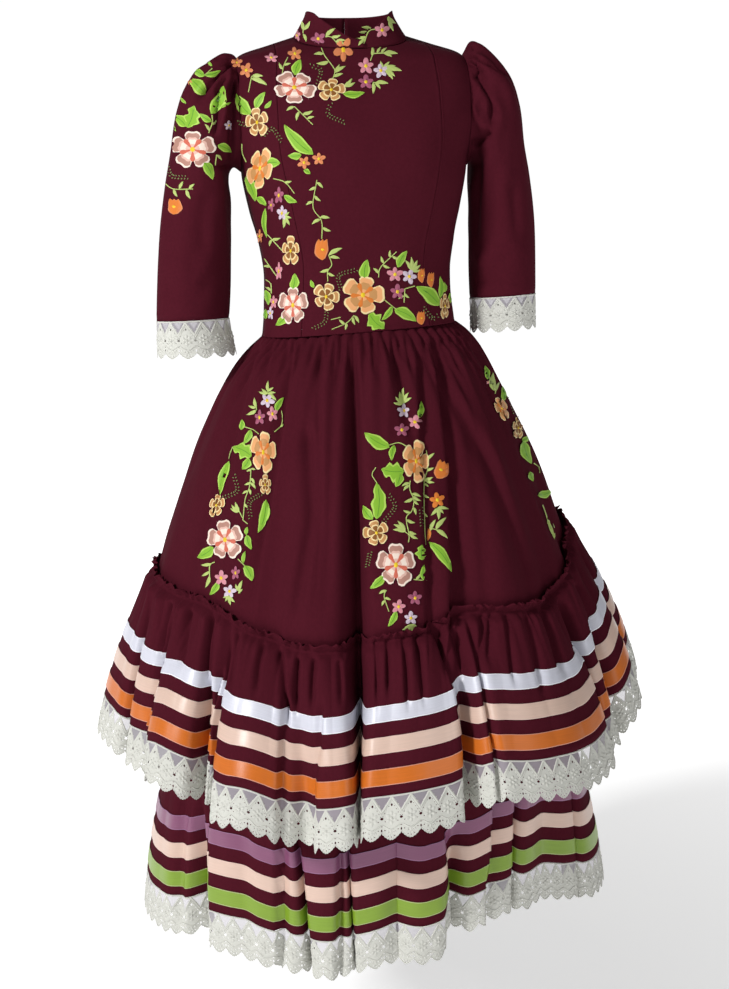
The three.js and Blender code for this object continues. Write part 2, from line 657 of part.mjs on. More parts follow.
// ---- skirt ---------------------------------------------------------------------------------
const seamZ = (angle) => lookRound(RUFFLE_SEAM, "z", angle);
const lowerZ = (angle) => lookRound(LOWER_SEAM, "z", angle);
function skirtAt(angle, level) {
  const half = look(SKIRT, "level", "half", level);
  const c = Math.cos(rad(angle));
  const s = Math.sin(rad(angle));
  const less = look(SKIRT, "level", c > 0 ? "less" : "lessBack", level);
  let out = 0;
  for (const fold of SKIRT_FOLDS) {
    const off = ((((angle - fold.at + 180) % 360) + 360) % 360) - 180;
    out += fold.deep * Math.exp(-((off / fold.wide) ** 2));
  }
  out *= soft((FOLD_GROW.from - level) / FOLD_GROW.over);
  out *= 1 - soft((FOLD_EASE.from - level) / FOLD_EASE.over);
  const gather = 1 - soft((GATHER_FADE.from - level) / GATHER_FADE.over);
  out += GATHER_DEPTH * gather * Math.cos(rad(WAIST_GATHERS * (angle + 180)));
  const near = 1 - soft((WAIST_SEAM - level) / TILT_WITHIN.below);
  const tilt = (SEAM_TILT * near * (half + out) * s) / WAIST_HALF;
  return new THREE.Vector3((half + out) * s, -(half - less + out) * c, level + tilt);
}
// Rows of the skirt: how far down to the ruffle's seam, then on to the lower seam.
const SKIRT_ROWS = [0, 0.045, 0.125, 0.27, 0.47, 0.73, 1, 1.4, 2];
const GATHER_ROWS = 3; // the first rows follow the gathers
const skirtLevel = (angle, s) =>
  s <= 1
    ? mix(WAIST_SEAM - SEAM / 2, seamZ(angle), s)
    : mix(seamZ(angle), lowerZ(angle) + SEAM / 2, s - 1);
const skirtRowAt = (angle, s) => skirtAt(angle, skirtLevel(angle, s));
for (const [name, start] of [["skirt_front", -90], ["skirt_back", 90]]) {
  const within = (list) => {
    const kept = [];
    for (const turn of [-360, 0, 360]) {
      for (const a of list) {
        if (a + turn > start - 1e-6 && a + turn < start + 180 + 1e-6) kept.push(a + turn);
      }
    }
    return [...new Set(kept)].sort((a, b) => a - b);
  };
  const gathers = 2 * WAIST_GATHERS;
  const fine = within(Array.from({ length: gathers }, (_, i) => -180 + (360 * i) / gathers));
  const coarse = within(upperAngles);
  const hem = within(lowerAngles);
  const rows = SKIRT_ROWS.map((s, r) => {
    const angles = (s === 2 ? hem : r < GATHER_ROWS ? fine : coarse).slice();
    const nudge = (SEAM / 2 / look(SKIRT, "level", "half", skirtLevel(start, s))) * (180 / Math.PI);
    angles[0] += nudge;
    angles[angles.length - 1] -= nudge;
    const line = row(skirtRowAt, angles, s, {
      step: { u: 0.05, v: 0.002 },
      range: { vMin: 0, vMax: s <= 1 ? 1 : 2 },
      turn: -1,
      level: s === 0 || s === 2,
    });
    line.u = angles.map((a) => (a - start) / 180);
    return line;
  });
  add(name, rows, false, WINE);
}

// ---- ruffles, ribbons and lace -------------------------------------------------------------
// Middle surface of a ruffle: k counts its columns, d is the cloth distance below its seam.
function ruffleAt({ path, angles, radius, seam }) {
  const ats = path.map((p) => p.at);
  const outs = path.map((p) => p.out);
  return (k, d) => {
    const headAngle = readList(angles, k, 360);
    const head = seam(headAngle, d);
    if (d < 0) return head;
    const at = readList(ats, k, 360);
    const c = Math.cos(rad(at));
    const s = Math.sin(rad(at));
    const out = readList(outs, k, 0);
    const r = mix(radius.front, radius.side, s * s) + out;
    const t = d / RUFFLE_CLOTH;
    const grow = t * (1.3 - 0.3 * t);
    const dx = r * s - head.x;
    const dy = -r * c - head.y;
    const run = Math.min(Math.hypot(dx, dy), RUFFLE_CLOTH * 0.8);
    const fall = Math.sqrt(RUFFLE_CLOTH ** 2 - run ** 2);
    return new THREE.Vector3(
      head.x + dx * grow,
      head.y + dy * grow,
      head.z - (fall * (0.93 + 0.07 * t) + RECESS_LIFT * Math.min(0, out)) * t,
    );
  };
}
const outward = (p, angle, amount) =>
  p.add(new THREE.Vector3(Math.sin(rad(angle)), -Math.cos(rad(angle)), 0).multiplyScalar(amount));
const upperAt = ruffleAt({
  path: upperPath,
  angles: upperAngles,
  radius: UPPER_RADIUS,
  seam: (angle, d) => {
    const rise = Math.max(0, -d);
    const p = skirtAt(angle, seamZ(angle) + rise);
    return outward(p, angle, CLOTH + 2 * SEAM + (rise / HEADING) * HEADING_LEAN);
  },
});
const lowerAt = ruffleAt({
  path: lowerPath,
  angles: lowerAngles,
  radius: LOWER_RADIUS,
  seam: (angle) => skirtAt(angle, lowerZ(angle) - SEAM / 2),
});
const RUFFLE_ROWS = [0, 38];
for (const { drop } of RIBBONS) RUFFLE_ROWS.push(drop, drop + RIBBON_WIDTH);
RUFFLE_ROWS.push(RUFFLE_CLOTH);
function ruffle(at, count, thick, distances, push) {
  const us = Array.from({ length: count }, (_, i) => i);
  const step = { u: 0.02, v: 0.5 };
  return distances.map((d) => {
    const spec = { thick, push, step, range: { vMin: 0 }, turn: -1, round: count };
    const line = row(at, us, d, { ...spec, level: d === 0 });
    line.u = us.map((u) => u / count);
    return line;
  });
}
// The frill of the heading waves in and out once for each column of the ruffle.
function headingRow(count) {
  const us = Array.from({ length: 2 * count }, (_, i) => i / 2);
  const wavy = (k, d) => {
    const wave = HEADING_WAVE * Math.cos(2 * Math.PI * k);
    return outward(upperAt(k, d), readList(upperAngles, k, 360), wave);
  };
  const range = { vMin: -HEADING, vMax: -0.01 };
  const line = row(wavy, us, -HEADING, { step: { u: 0.02, v: 0.5 }, range, turn: -1 });
  line.u = us.map((u) => u / count);
  return line;
}
const tiers = [
  {
    name: "upper",
    at: upperAt,
    count: upperPath.length,
    lace: LACE_UPPER,
    colours: ["white", "beige", "orange"],
    heading: true,
  },
  {
    name: "lower",
    at: lowerAt,
    count: lowerPath.length,
    lace: LACE_LOWER,
    colours: ["purple", "beige", "green"],
    heading: false,
  },
];
for (const { name, at, count, lace, colours, heading } of tiers) {
  const rows = ruffle(at, count, CLOTH, RUFFLE_ROWS, 0);
  if (heading) rows.unshift(headingRow(count));
  add("ruffle_" + name, rows, true, WINE);
  RIBBONS.forEach(({ drop }, i) => {
    const push = CLOTH / 2 + SEAM + TRIM / 2;
    const band = ruffle(at, count, TRIM, [drop, drop + RIBBON_WIDTH], push);
    add("ribbon_" + name + "_" + colours[i], band, true, RIBBON_PAINT[colours[i]]);
  });
  const from = RUFFLE_CLOTH + 2.6 * SEAM;
  add("lace_" + name, ruffle(at, count, TRIM, [from, from + lace], 0), true, LACE);
}

export default dress;
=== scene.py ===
"""Escaramuza dress in worn form: cloth shells on the CAD's form, ribbons, lace and embroidery.

Sizes are worked out in millimetres in the row frame and made into metres as each mesh is made.
"""
import math

import bpy
import numpy as np
from mathutils import Matrix, Vector
from mathutils.bvhtree import BVHTree
from mathutils.geometry import delaunay_2d_cdt


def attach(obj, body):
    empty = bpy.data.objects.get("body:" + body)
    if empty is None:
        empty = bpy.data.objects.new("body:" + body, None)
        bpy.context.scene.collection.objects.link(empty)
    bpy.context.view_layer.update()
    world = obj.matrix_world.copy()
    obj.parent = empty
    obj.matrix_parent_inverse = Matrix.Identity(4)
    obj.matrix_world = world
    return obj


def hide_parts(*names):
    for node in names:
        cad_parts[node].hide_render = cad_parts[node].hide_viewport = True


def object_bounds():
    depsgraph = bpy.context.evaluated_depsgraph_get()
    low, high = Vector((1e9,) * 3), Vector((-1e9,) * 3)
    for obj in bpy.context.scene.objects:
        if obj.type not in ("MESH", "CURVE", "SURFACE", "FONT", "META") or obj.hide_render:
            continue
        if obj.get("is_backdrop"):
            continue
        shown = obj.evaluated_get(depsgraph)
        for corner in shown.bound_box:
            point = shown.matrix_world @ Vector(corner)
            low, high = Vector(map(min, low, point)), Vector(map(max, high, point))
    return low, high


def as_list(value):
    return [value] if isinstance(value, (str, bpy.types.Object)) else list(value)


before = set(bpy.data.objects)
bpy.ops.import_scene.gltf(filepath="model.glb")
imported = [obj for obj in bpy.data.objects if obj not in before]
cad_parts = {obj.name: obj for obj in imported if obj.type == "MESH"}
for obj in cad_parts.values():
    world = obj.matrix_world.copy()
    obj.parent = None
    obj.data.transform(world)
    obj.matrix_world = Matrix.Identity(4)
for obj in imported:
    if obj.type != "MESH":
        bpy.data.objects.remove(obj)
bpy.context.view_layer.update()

MM = 0.001  # metres in a millimetre
METRE = 1000  # millimetres in a metre

# ---- driving sizes, millimetres -------------------------------------------------------------
CLOTH = 1.4  # thickness of the CAD's cloth
SEAM = 0.3  # gap between two pieces
SHELL = 0.9  # drawn thickness of the cloth
BODY_POWER = 2.4  # squareness of the torso's section
WAIST_SEAM = -357.0
SEAM_TILT = 6.0
TILT_HEIGHT = 117.0  # above the waist the tilt of its seam has gone
ARMHOLE_X = 145.0
ARMHOLE_DROP = 151.0
CENTRE_BACK = 0.2  # half of the opening down the back
NECK_LEVEL = 13.0
COLLAR_STAND = 34.0
WAIST_GATHERS = 56
GATHER_DEPTH = 3.2
# on the skirt: the level where it starts, and the height that it takes below
GATHERS_END = (-362, 75)
FOLDS_GROW = (-375, 300)
FOLDS_END = (-725, 140)
SIDE_GAP = 0.05  # degrees from a side seam to the skirt's cloth
RUFFLE_CLOTH = 178.0
HEM_RADIUS = {"upper": (345.0, 349.0), "lower": (312.0, 254.0)}  # at the sides and at the front
FOLD_COLUMNS = {"upper": 17, "lower": 13}  # columns drawn for each column of a fold
HEADING = 11.0  # frill that stands above the upper ruffle's seam
HEADING_LEAN = 4.6
HEADING_WAVE = 3.6
HEADING_WAVES = 137
LACE_DEPTH = {"upper": 50.0, "lower": 48.0, "cuff": 46.0}
LACE_GAP = 0.3
LACE_LINE = {"ruffle": 12.0, "cuff": 20.0}  # the depth at which a lace's length is measured
RIBBON_WIDTH = 19.0
RIBBON_DROPS = (76.0, 112.0, 148.0)
RIBBON_LIFT = 1.2
RIBBON_COLOURS = {"upper": ("white", "beige", "orange"), "lower": ("purple", "beige", "green")}
RECESS_LIFT = 0.35  # how much less far a recess between folds falls, for a millimetre of recess
BODICE_DROP = 370.0  # the length that drops on the bodice are counted in
SLEEVE_TOP = -12.0
SLEEVE_ROWS = 8  # the sections of SLEEVE; past them a sleeve is counted in millimetres
SLEEVE_PLEATS = 14
PUFF_PLEAT = 3.4
SLEEVE_FREE = 150.0  # nearer to the middle the sleeve lies on the bodice and keeps its plain form

# the camera: place, directions, focal length and middle in picture pixels
EYE = Vector((-0.21775, -1.78682, -0.25519))
RIGHT = Vector((0.99147, -0.12706, -0.02919))
UP = Vector((0.05113, 0.17301, 0.98359))
AHEAD = Vector((0.11992, 0.97669, -0.17803))
FOCUS = 1351.46
MIDDLE = (364.5, 494.5)

# level, half width, depth to the front and back, drop at the centre front and centre back
TORSO = np.array([
    (13, 71, 60, 57, -23, 3), (3, 104, 66, 62, -20, 0), (-8, 139, 72, 67, -18, -2),
    (-12, 145, 74, 69, -18, -2), (-22, 152, 79, 73, -16, -2), (-50, 160, 90, 82, -10, 0),
    (-85, 160, 100, 90, -4, 0), (-115, 153, 107, 92, 0, 0), (-140, 146, 110, 92, 0, 0),
    (-160, 144, 110, 90, 0, 0), (-200, 137, 104, 86, 0, 0), (-240, 127, 96, 82, 0, 0),
    (-285, 121, 90, 80, 0, 0), (-320, 122.5, 91, 84, 0, 0), (-357, 126, 95, 90, 0, 0)], float)
# level, distance of the princess seams from the middle
PRINCESS = np.array([(13, 97), (-20, 99), (-60, 101), (-115, 101), (-200, 88), (-275, 76),
                     (-357, 82)], float)
# angle, height of the collar's edge
COLLAR_TOP = np.array([(180, 44), (90, 43), (62, 38), (45, 29), (20, 15), (0, 1), (-20, -9)],
                      float)
COLLAR_RADIUS = {"side": 54.0, "front": 51.0, "back": 50.0}
# sleeve sections: outer point x and z, inner point x and z, half depth, how much puff
SLEEVE = np.array([
    (158, 2, 153, -146, 56, 1), (179, -9, 155, -152, 60, 0.75), (205, -38, 154, -162, 60, 0.35),
    (218, -76, 152, -182, 57, 0.1), (224, -122, 152, -208, 54, 0), (231, -165, 151, -232, 52, 0),
    (237, -228, 151, -268, 50, 0), (238.5, -318, 152, -322, 47, 0)], float)
SLEEVE_POSE = {
    "left": dict(side=1, swing=0, stretch=1, tilt=0, slump=0, wide=0, trim=0, flare=0),
    "right": dict(side=-1, swing=4.6, stretch=1.05, tilt=-13, slump=-11, wide=8, trim=2,
                  flare=12),
}
# level, half width, how much less to the front and to the back
SKIRT = np.array([
    (-357, 126, 31, 36), (-370, 142, 29, 34), (-392, 162, 27, 31), (-435, 188, 23, 26),
    (-470, 206, 20, 22), (-500, 220, 18, 19), (-540, 236, 16, 16), (-585, 252, 14, 14),
    (-640, 271, 12, 12), (-680, 283, 11, 11), (-725, 286, 12, 11), (-800, 280, 14, 12),
    (-915, 272, 16, 12)], float)
# folds of the skirt: angle, half width in degrees, depth at the ruffle's seam
SKIRT_FOLDS = np.array([
    (-74, 6, 6), (-54, 5, -9), (-31, 4.5, -9), (-20, 5, 4), (-9, 3.4, -19), (2, 5, 5),
    (20, 4.5, -8), (33, 6, 4), (48, 5, -9), (68, 5, -8), (96, 6, -8), (118, 6, -9),
    (141, 5, -10), (166, 6, -8), (189, 5, -10), (212, 6, -9), (236, 6, -8), (257, 5, -8)], float)
# creases that fall from the waist: angle, half width in degrees, depth, level where they end
WAIST_CREASES = np.array([
    (-82, 2.2, -4, -600), (-66, 1.8, -5, -560), (-47, 1.6, -4, -620), (-41, 2.0, 3, -560),
    (-36, 1.5, -4, -520), (-25, 1.7, -5, -600), (-15, 1.5, -4, -540), (-4, 1.3, -5, -590),
    (6, 1.6, 3, -520), (11, 1.4, -5, -640), (15, 1.5, 3, -560), (26, 1.5, -5, -600),
    (30, 1.3, 3, -540), (39, 1.7, -5, -640), (44, 1.4, 3, -560), (55, 1.6, -5, -600),
    (61, 1.8, 3, -520), (76, 1.9, -4, -600), (87, 2.2, -5, -580), (107, 2.1, -5, -620),
    (128, 1.8, -4, -560), (152, 2.0, -5, -600), (177, 2.2, -4, -580), (200, 1.9, -5, -620),
    (224, 2.1, -4, -560), (246, 2.0, -5, -600), (268, 1.8, -4, -590)], float)
# seam line of the upper ruffle, and of the lower one: angle, level
RUFFLE_SEAM = np.array([
    (-80, -665), (-60, -675), (-45, -682), (-35, -704), (-20, -717), (-10, -716), (0, -703),
    (10, -697), (16, -685), (30, -690), (45, -692), (60, -668), (75, -637), (90, -619),
    (120, -640), (150, -664), (180, -672), (210, -672), (240, -668)], float)
LOWER_SEAM = np.array([
    (-85, -912), (-49, -893), (-31, -909), (-15, -908), (-3, -896), (8, -899), (21, -882),
    (31, -867), (44, -869), (57, -886), (75, -904), (120, -905), (180, -905), (235, -908)],
    float)
# folds of the ruffles at the hem: from, to, how far out, how far in after it, columns
UPPER_FOLDS = [
    (-95, -70.5, 14, -24, 5), (-68, -60, 2, -28, 3), (-57, -45, 19, -20, 4), (-43.4, -41.2, -4, -20, 1),
    (-38.4, -24.5, 20, -14, 4), (-17.5, -10.5, 13, -55, 3), (-8.5, 10, 15, -22, 5),
    (15.5, 49, 20, -22, 6), (51.5, 57, 5, -24, 2), (58.5, 71, 12, -20, 3), (74, 96, 8, -16, 4),
    (101, 117, 16, -18, 2), (124, 141, 14, -20, 2), (147, 165, 17, -17, 2), (171, 187, 13, -19, 2),
    (193, 212, 17, -20, 2), (218, 235, 14, -18, 2), (241, 258, 16, -16, 2)]
LOWER_FOLDS = [
    (-92, -64, 6, -28, 4), (-54, -27.5, 14, -26, 4), (-24.5, -14.5, 13, -20, 3), (-12, -1.5, 11, -8, 2),
    (0, 11, 11, -24, 2), (22, 34, -26, -40, 2), (37, 60, -17, -27, 3), (62, 84, 6, -16, 3),
    (90, 112, 12, -16, 2), (122, 146, 12, -18, 2), (156, 180, 13, -17, 2), (190, 215, 12, -18, 2),
    (225, 252, 12, -16, 3)]

# creases as seen from the camera: points of the line in picture pixels, half width on its left
# and right going along it, and depth in millimetres
SKIRT_CREASES = [
    ((352, 330, 356, 400, 358, 500, 359, 600, 360, 660, 361, 790), 11, 3.5, -21),
    ((368, 335, 369, 500, 371, 660), 4, 8, 4),
    ((418, 330, 421.5, 400, 424, 480, 426, 540, 428.5, 600, 430, 690), 1.8, 10, -10),
    ((428, 330, 441, 370, 445.5, 416, 450.5, 464, 453, 520, 454, 574, 452, 700), 2.2, 15, -15),
    ((438, 330, 453, 388, 471, 423, 492, 464, 509, 512, 526, 564, 539, 630), 9, 2.5, -7),
    ((444, 330, 459, 388, 477.5, 422, 499, 463, 516.5, 511, 534, 563, 547, 630), 2.5, 6, 3),
    ((466, 330, 484, 366, 500, 395, 513, 430, 528, 470, 540, 500, 560, 560), 2, 10, -8),
    ((470, 420, 478, 480, 486, 560, 490, 640), 8, 9, -5),
    ((292, 330, 291, 350, 282, 412, 277.5, 446, 269, 498, 258, 555, 246, 640), 12, 2, -9),
    ((320, 330, 318, 412, 319, 477, 319, 542, 311, 640), 3.5, 3.5, -5),
    ((306, 420, 311, 520, 301, 575, 288, 650), 6, 7, -10),
    ((334, 345, 331, 440, 327, 540, 322, 640), 5, 6, -5),
    ((263, 330, 251, 358, 238, 416, 223, 477, 204, 533, 180, 625), 8, 2.5, -6),
    ((250, 330, 221, 384, 195, 455, 168, 560), 7, 7, -4), ((238, 450, 215, 540, 200, 620), 9, 9, 3),
    ((395, 340, 402, 385, 408, 440), 5, 6, -6), ((385, 345, 388, 400, 386, 460), 5, 5, 3)]
UPPER_CREASES = [
    ((168, 655, 159, 668, 144, 725, 141, 800), 8, 1.8, -9),
    ((226, 665, 219, 682, 208, 719, 203, 860), 9, 1.8, -11),
    ((283, 690, 282, 717, 280, 742, 279, 768, 276, 880), 1.8, 11, -10),
    ((322, 695, 321, 721, 320, 750, 315, 776, 311, 890), 10, 1.8, -9),
    ((424, 612, 432, 627, 446, 658, 457, 691, 464, 736, 469, 860), 1.8, 10, -13),
    ((466, 612, 471, 625, 479, 658, 485, 687, 493, 734, 499, 764, 506, 850), 3, 3.5, -12),
    ((588, 612, 593, 629, 598, 650, 605, 674, 613, 703, 622, 800), 1.8, 8, -10),
    ((212, 612, 206, 645, 203, 690), 3, 3, -9), ((190, 608, 184, 640, 180, 670), 3, 3, -8),
    ((170, 600, 163, 625, 158, 660), 3, 3, -9), ((238, 630, 232, 655, 228, 700), 3, 4, -7),
    ((264, 642, 257, 665, 254, 700), 3, 3, -8), ((280, 648, 282, 680, 285, 735), 3, 3, -10),
    ((297, 655, 295, 690, 295, 720), 3, 3, -9), ((315, 656, 312, 680, 311, 715), 3, 3, -8),
    ((338, 658, 340, 680, 341, 710), 3, 3, -7), ((376, 637, 377, 670, 378, 710), 2.6, 2.6, -8),
    ((388, 636, 388, 660, 389, 700), 2.6, 2.6, -9), ((403, 634, 407, 670, 409, 715), 3, 3, -9),
    ((415, 630, 421, 665, 425, 710), 3, 3, -9), ((438, 622, 444, 655, 448, 680), 3, 3, -9),
    ((451, 618, 462, 655, 470, 690), 3, 3, -9), ((484, 612, 483, 645, 485, 670), 3, 3, -8),
    ((494, 612, 491, 640, 490, 670), 3, 3, -9), ((507, 612, 511, 645, 516, 690), 3, 3, -9),
    ((527, 610, 537, 650, 544, 700), 4, 4, -9), ((541, 604, 553, 638, 564, 680), 3, 3, -9),
    ((559, 598, 573, 632, 584, 670), 3, 3, -9), ((576, 580, 590, 608, 600, 640), 3, 3, -7)]
LOWER_CREASES = [
    ((186, 770, 182, 805, 177, 845, 173, 960), 4, 8, -10),
    ((208, 780, 206, 835, 205, 883, 208, 990), 8, 1.8, -9),
    ((276, 790, 278, 838, 278, 930, 278, 1010), 1.8, 10, -13),
    ((340, 800, 338, 854, 337, 930, 337, 1030), 1.8, 8, -12),
    ((443, 780, 446, 826, 450, 873, 454, 916, 456, 1000), 1.8, 8, -10),
    ((497, 760, 495, 806, 494, 848, 489, 893, 488, 970), 1.8, 9, -10),
    ((402, 800, 400, 850, 398, 900, 397, 990), 12, 12, -8), ((240, 800, 243, 850, 246, 990), 10, 10, -5),
    ((545, 760, 548, 800, 550, 880), 12, 12, -6)]
# gathers of the waist: place along it in picture pixels, length and depth
WAIST_PLEATS = [
    (254, 22, -3), (260, 34, -4), (266, 20, -3), (273, 46, -5), (281, 18, -3), (287, 40, -5),
    (294, 26, -3), (301, 36, -5), (308, 16, -3), (314, 30, -4), (322, 44, -5), (329, 20, -3),
    (335, 38, -5), (343, 30, -5), (349, 40, -4), (366, 24, -4), (372, 36, -5), (379, 30, -5),
    (386, 18, -3), (392, 46, -6), (399, 26, -4), (406, 38, -5), (413, 22, -4), (424, 30, -4),
    (434, 40, -5), (443, 26, -4), (450, 38, -4), (458, 24, -4), (465, 34, -4), (472, 20, -3)]
SLEEVE_CREASES = {
    "right": [
        ((236, 61, 219, 72, 206, 86, 192, 104), 3, 4, -11), ((233, 66, 219, 80, 209, 94), 2.5, 2.5, 7),
        ((232, 70, 226, 88, 224, 110, 220, 136), 3, 3, 7), ((235, 74, 234, 116, 232, 168), 4, 2, -9),
        ((218, 86, 217, 110, 214, 140), 2.2, 3, -7), ((210, 168, 222, 166.5, 236, 165), 1.6, 2.4, -3.5),
        ((237, 57, 213, 58, 196, 66), 2.2, 2.2, -5), ((238, 60, 204, 62, 186, 82), 2.5, 2.5, 3),
        ((190, 100, 182, 128, 178, 160), 6, 6, -3), ((158, 262, 194, 279, 214, 254), 8, 8, 4),
        ((160, 286, 190, 290, 222, 284), 6, 6, -4), ((206, 190, 203, 230, 206, 262), 8, 8, -3)],
    "left": [
        ((452, 55, 461, 50, 478, 48), 1.8, 1.8, -6), ((452, 58, 475, 57, 493, 65, 514, 78), 1.8, 2.2, -6),
        ((455, 64, 471, 64, 482, 72, 492, 84), 1.8, 1.8, -7), ((460, 61, 472, 60, 486, 68), 1.6, 1.6, 4),
        ((461, 70, 473, 72, 483, 84, 490, 98, 494, 132), 3, 7, -13),
        ((466, 96, 480, 120, 492, 134), 6, 3, 5), ((493, 133, 481, 141, 468, 148), 5, 1.8, -8),
        ((470, 72, 469, 90, 472, 112), 1.8, 2.5, -4), ((478, 100, 486, 112, 489, 125), 3, 5, -3),
        ((479, 154, 477, 200, 475, 250), 5, 5, -5), ((488, 150, 484, 200, 482, 250), 5, 6, 3),
        ((500, 80, 506, 120, 508, 180), 7, 7, -3), ((474, 268, 506, 243, 536, 266), 8, 8, 4),
        ((474, 283, 500, 286, 530, 281), 5, 5, -4), ((512, 180, 516, 215, 518, 240), 6, 6, -3)],
}
BODICE_CREASES = [
    ((468, 96, 458, 92, 449, 99), 3, 3, -1.6), ((466, 128, 455, 134, 444, 146), 4, 4, -1.6),
    ((463, 175, 452, 168, 440, 170), 5, 5, -1.4), ((430, 236, 440, 262, 452, 290), 5, 5, -1.8),
    ((236, 100, 243, 110, 249, 125), 3, 3, -1.4), ((262, 240, 280, 236, 300, 240), 6, 6, -1.4),
    ((380, 180, 400, 176, 425, 184), 8, 8, -1.2), ((340, 60, 372, 66, 405, 60), 6, 6, -1.2)]


# ---- helpers --------------------------------------------------------------------------------
def mix(a, b, t):
    return a + (b - a) * t


def soft(t):
    c = np.clip(t, 0.0, 1.0)
    return c * c * (3 - 2 * c)


def reached(level, down):
    """0 above a level and 1 from some height below it: down holds the level and the height."""
    return soft((down[0] - level) / down[1])


def bell(t):
    return np.exp(-(t**2))


def summed(steps):
    """The running total of a list, from 0."""
    return np.concatenate([[0], np.cumsum(steps)])


def gaps(p, axis=0):
    """Distances between neighbouring points."""
    return np.linalg.norm(np.diff(p, axis=axis), axis=-1)


def unit(v):
    return v / np.maximum(np.linalg.norm(v, axis=-1, keepdims=True), 1e-9)


def pinch(distance, wide=2.4, deep=0.7):
    """How far the cloth dips beside a seam."""
    return -deep * bell(distance / wide)


def catmull(p0, p1, p2, p3, t):
    bend = (p2 - p0) * t + (2 * p0 - 5 * p1 + 4 * p2 - p3) * t * t
    return p1 + 0.5 * bend + 0.5 * (3 * p1 - p0 - 3 * p2 + p3) * t**3


def smooth_table(table, column):
    """Monotone cubic reading of a table's column by its first column."""
    x, y = table[:, 0], table[:, column]
    if x[0] > x[-1]:
        x, y = x[::-1], y[::-1]
    h = np.diff(x)
    d = np.diff(y) / h
    m = np.zeros_like(y)
    m[0], m[-1] = d[0], d[-1]
    for i in range(1, len(y) - 1):
        if d[i - 1] * d[i] > 0:
            w1, w2 = 2 * h[i] + h[i - 1], h[i] + 2 * h[i - 1]
            m[i] = (w1 + w2) / (w1 / d[i - 1] + w2 / d[i])

    def read(t):
        t = np.clip(t, x[0], x[-1])
        i = np.clip(np.searchsorted(x, t) - 1, 0, len(h) - 1)
        s = (t - x[i]) / h[i]
        ends = (1 + 2 * s) * (1 - s) ** 2 * y[i] + s * s * (3 - 2 * s) * y[i + 1]
        return ends + h[i] * (s * (1 - s) ** 2 * m[i] + s * s * (s - 1) * m[i + 1])

    return read


def look_round(table, degrees):
    """Smooth reading of a closed table of angle and value."""
    at, value = table[:, 0], table[:, 1]
    n = len(at)
    d = (np.asarray(degrees, float) - at[0]) % 360 + at[0]
    i = np.clip(np.searchsorted(at, d, side="right") - 1, 0, n - 1)
    nxt = np.where(i == n - 1, at[0] + 360, at[(i + 1) % n])
    t = (d - at[i]) / (nxt - at[i])
    return catmull(value[(i - 1) % n], value[i], value[(i + 1) % n], value[(i + 2) % n], t)


def read_list(values, index, turns=0.0):
    """Smooth reading of a closed list at a real index; turns is what it gains per round."""
    v = np.asarray(values, float)
    n = len(v)
    i = np.floor(index).astype(int)

    def get(k):
        return v[k % n] + (k // n) * turns

    return catmull(get(i - 1), get(i), get(i + 1), get(i + 2), index - i)


def wobble(a, b, seed):
    """Smooth uneven values of about -1 to 1 from two coordinates of about one wave a unit."""
    total = 0.0
    for k in range(5):
        p = seed * 1.7 + k * 2.399
        fa, fb = 1.1 * math.cos(p) + 0.3 * k, 1.1 * math.sin(p) - 0.2 * k
        total = total + np.sin(2 * math.pi * (fa * a + fb * b) + 5.1 * p) / (1 + 0.35 * k)
    return total / 2.2


def floats(*values):
    """The values as arrays of one shape."""
    return np.broadcast_arrays(*(np.asarray(v, float) for v in values))


def turned(degrees):
    """Cosine and sine."""
    return np.cos(np.radians(degrees)), np.sin(np.radians(degrees))


def stack(x, y, z):
    return np.stack(np.broadcast_arrays(x, y, z), axis=-1)


def outward(angle):
    """Level directions away from the middle of the skirt."""
    c, s = turned(angle)
    return stack(s, -c, 0)


def apart(angle, at):
    """Degrees from one angle to another, between -180 and 180."""
    return (angle - at + 180) % 360 - 180


def grid_normals(p, wrap=False):
    """Unit normals of a grid of points, rows by columns."""
    if wrap:
        along = np.roll(p, -1, axis=1) - np.roll(p, 1, axis=1)
    else:
        along = np.gradient(p, axis=1)
    return unit(np.cross(along, np.gradient(p, axis=0)))


def press(p, n, creases):
    """Points moved along their outward normals by the creases that the camera sees on them."""
    ray = p * MM - np.array(EYE)
    deep = ray @ np.array(AHEAD)
    x = MIDDLE[0] + FOCUS * (ray @ np.array(RIGHT)) / deep
    y = MIDDLE[1] - FOCUS * (ray @ np.array(UP)) / deep
    facing = -np.sum(ray * n, axis=-1) / np.linalg.norm(ray, axis=-1)
    total = np.zeros(x.shape)
    for line, left, right, depth in creases:
        at = np.array(line, float).reshape(-1, 2)
        step = np.diff(at, axis=0)
        size = np.hypot(step[:, 0], step[:, 1])
        before = summed(size)
        near, gone = np.full(x.shape, 1e9), np.zeros(x.shape)
        for i in range(len(step)):
            a, b = x - at[i, 0], y - at[i, 1]
            t = np.clip((a * step[i, 0] + b * step[i, 1]) / size[i] ** 2, 0, 1)
            off = np.hypot(a - t * step[i, 0], b - t * step[i, 1])
            side = np.where(step[i, 0] * b - step[i, 1] * a > 0, left, right)
            better = off / side < near
            near = np.where(better, off / side, near)
            gone = np.where(better, before[i] + t * size[i], gone)
        # a crease comes in over its first 12 % and goes out over its last 30 %
        share = gone / before[-1]
        fade = soft(share / 0.12) * soft((1 - share) / 0.3)
        total = total + depth * fade * bell(near)
    # and it goes out where the cloth turns away from the camera
    return p + n * (total * soft(facing / 0.3))[..., None]


# ---- surfaces -------------------------------------------------------------------------------
HALF, FRONT, BACK, DIP, RISE = [smooth_table(TORSO, c) for c in range(1, 6)]
PRINCESS_X = smooth_table(PRINCESS, 1)
WAIST_HALF = TORSO[-1, 1]
NECK_HALF, NECK_FRONT, NECK_BACK = TORSO[0, 1:4]
HEAD_LEVELS = np.linspace(TORSO[0, 0], TORSO[3, 0], 3000)
HEAD_HALVES = HALF(HEAD_LEVELS)


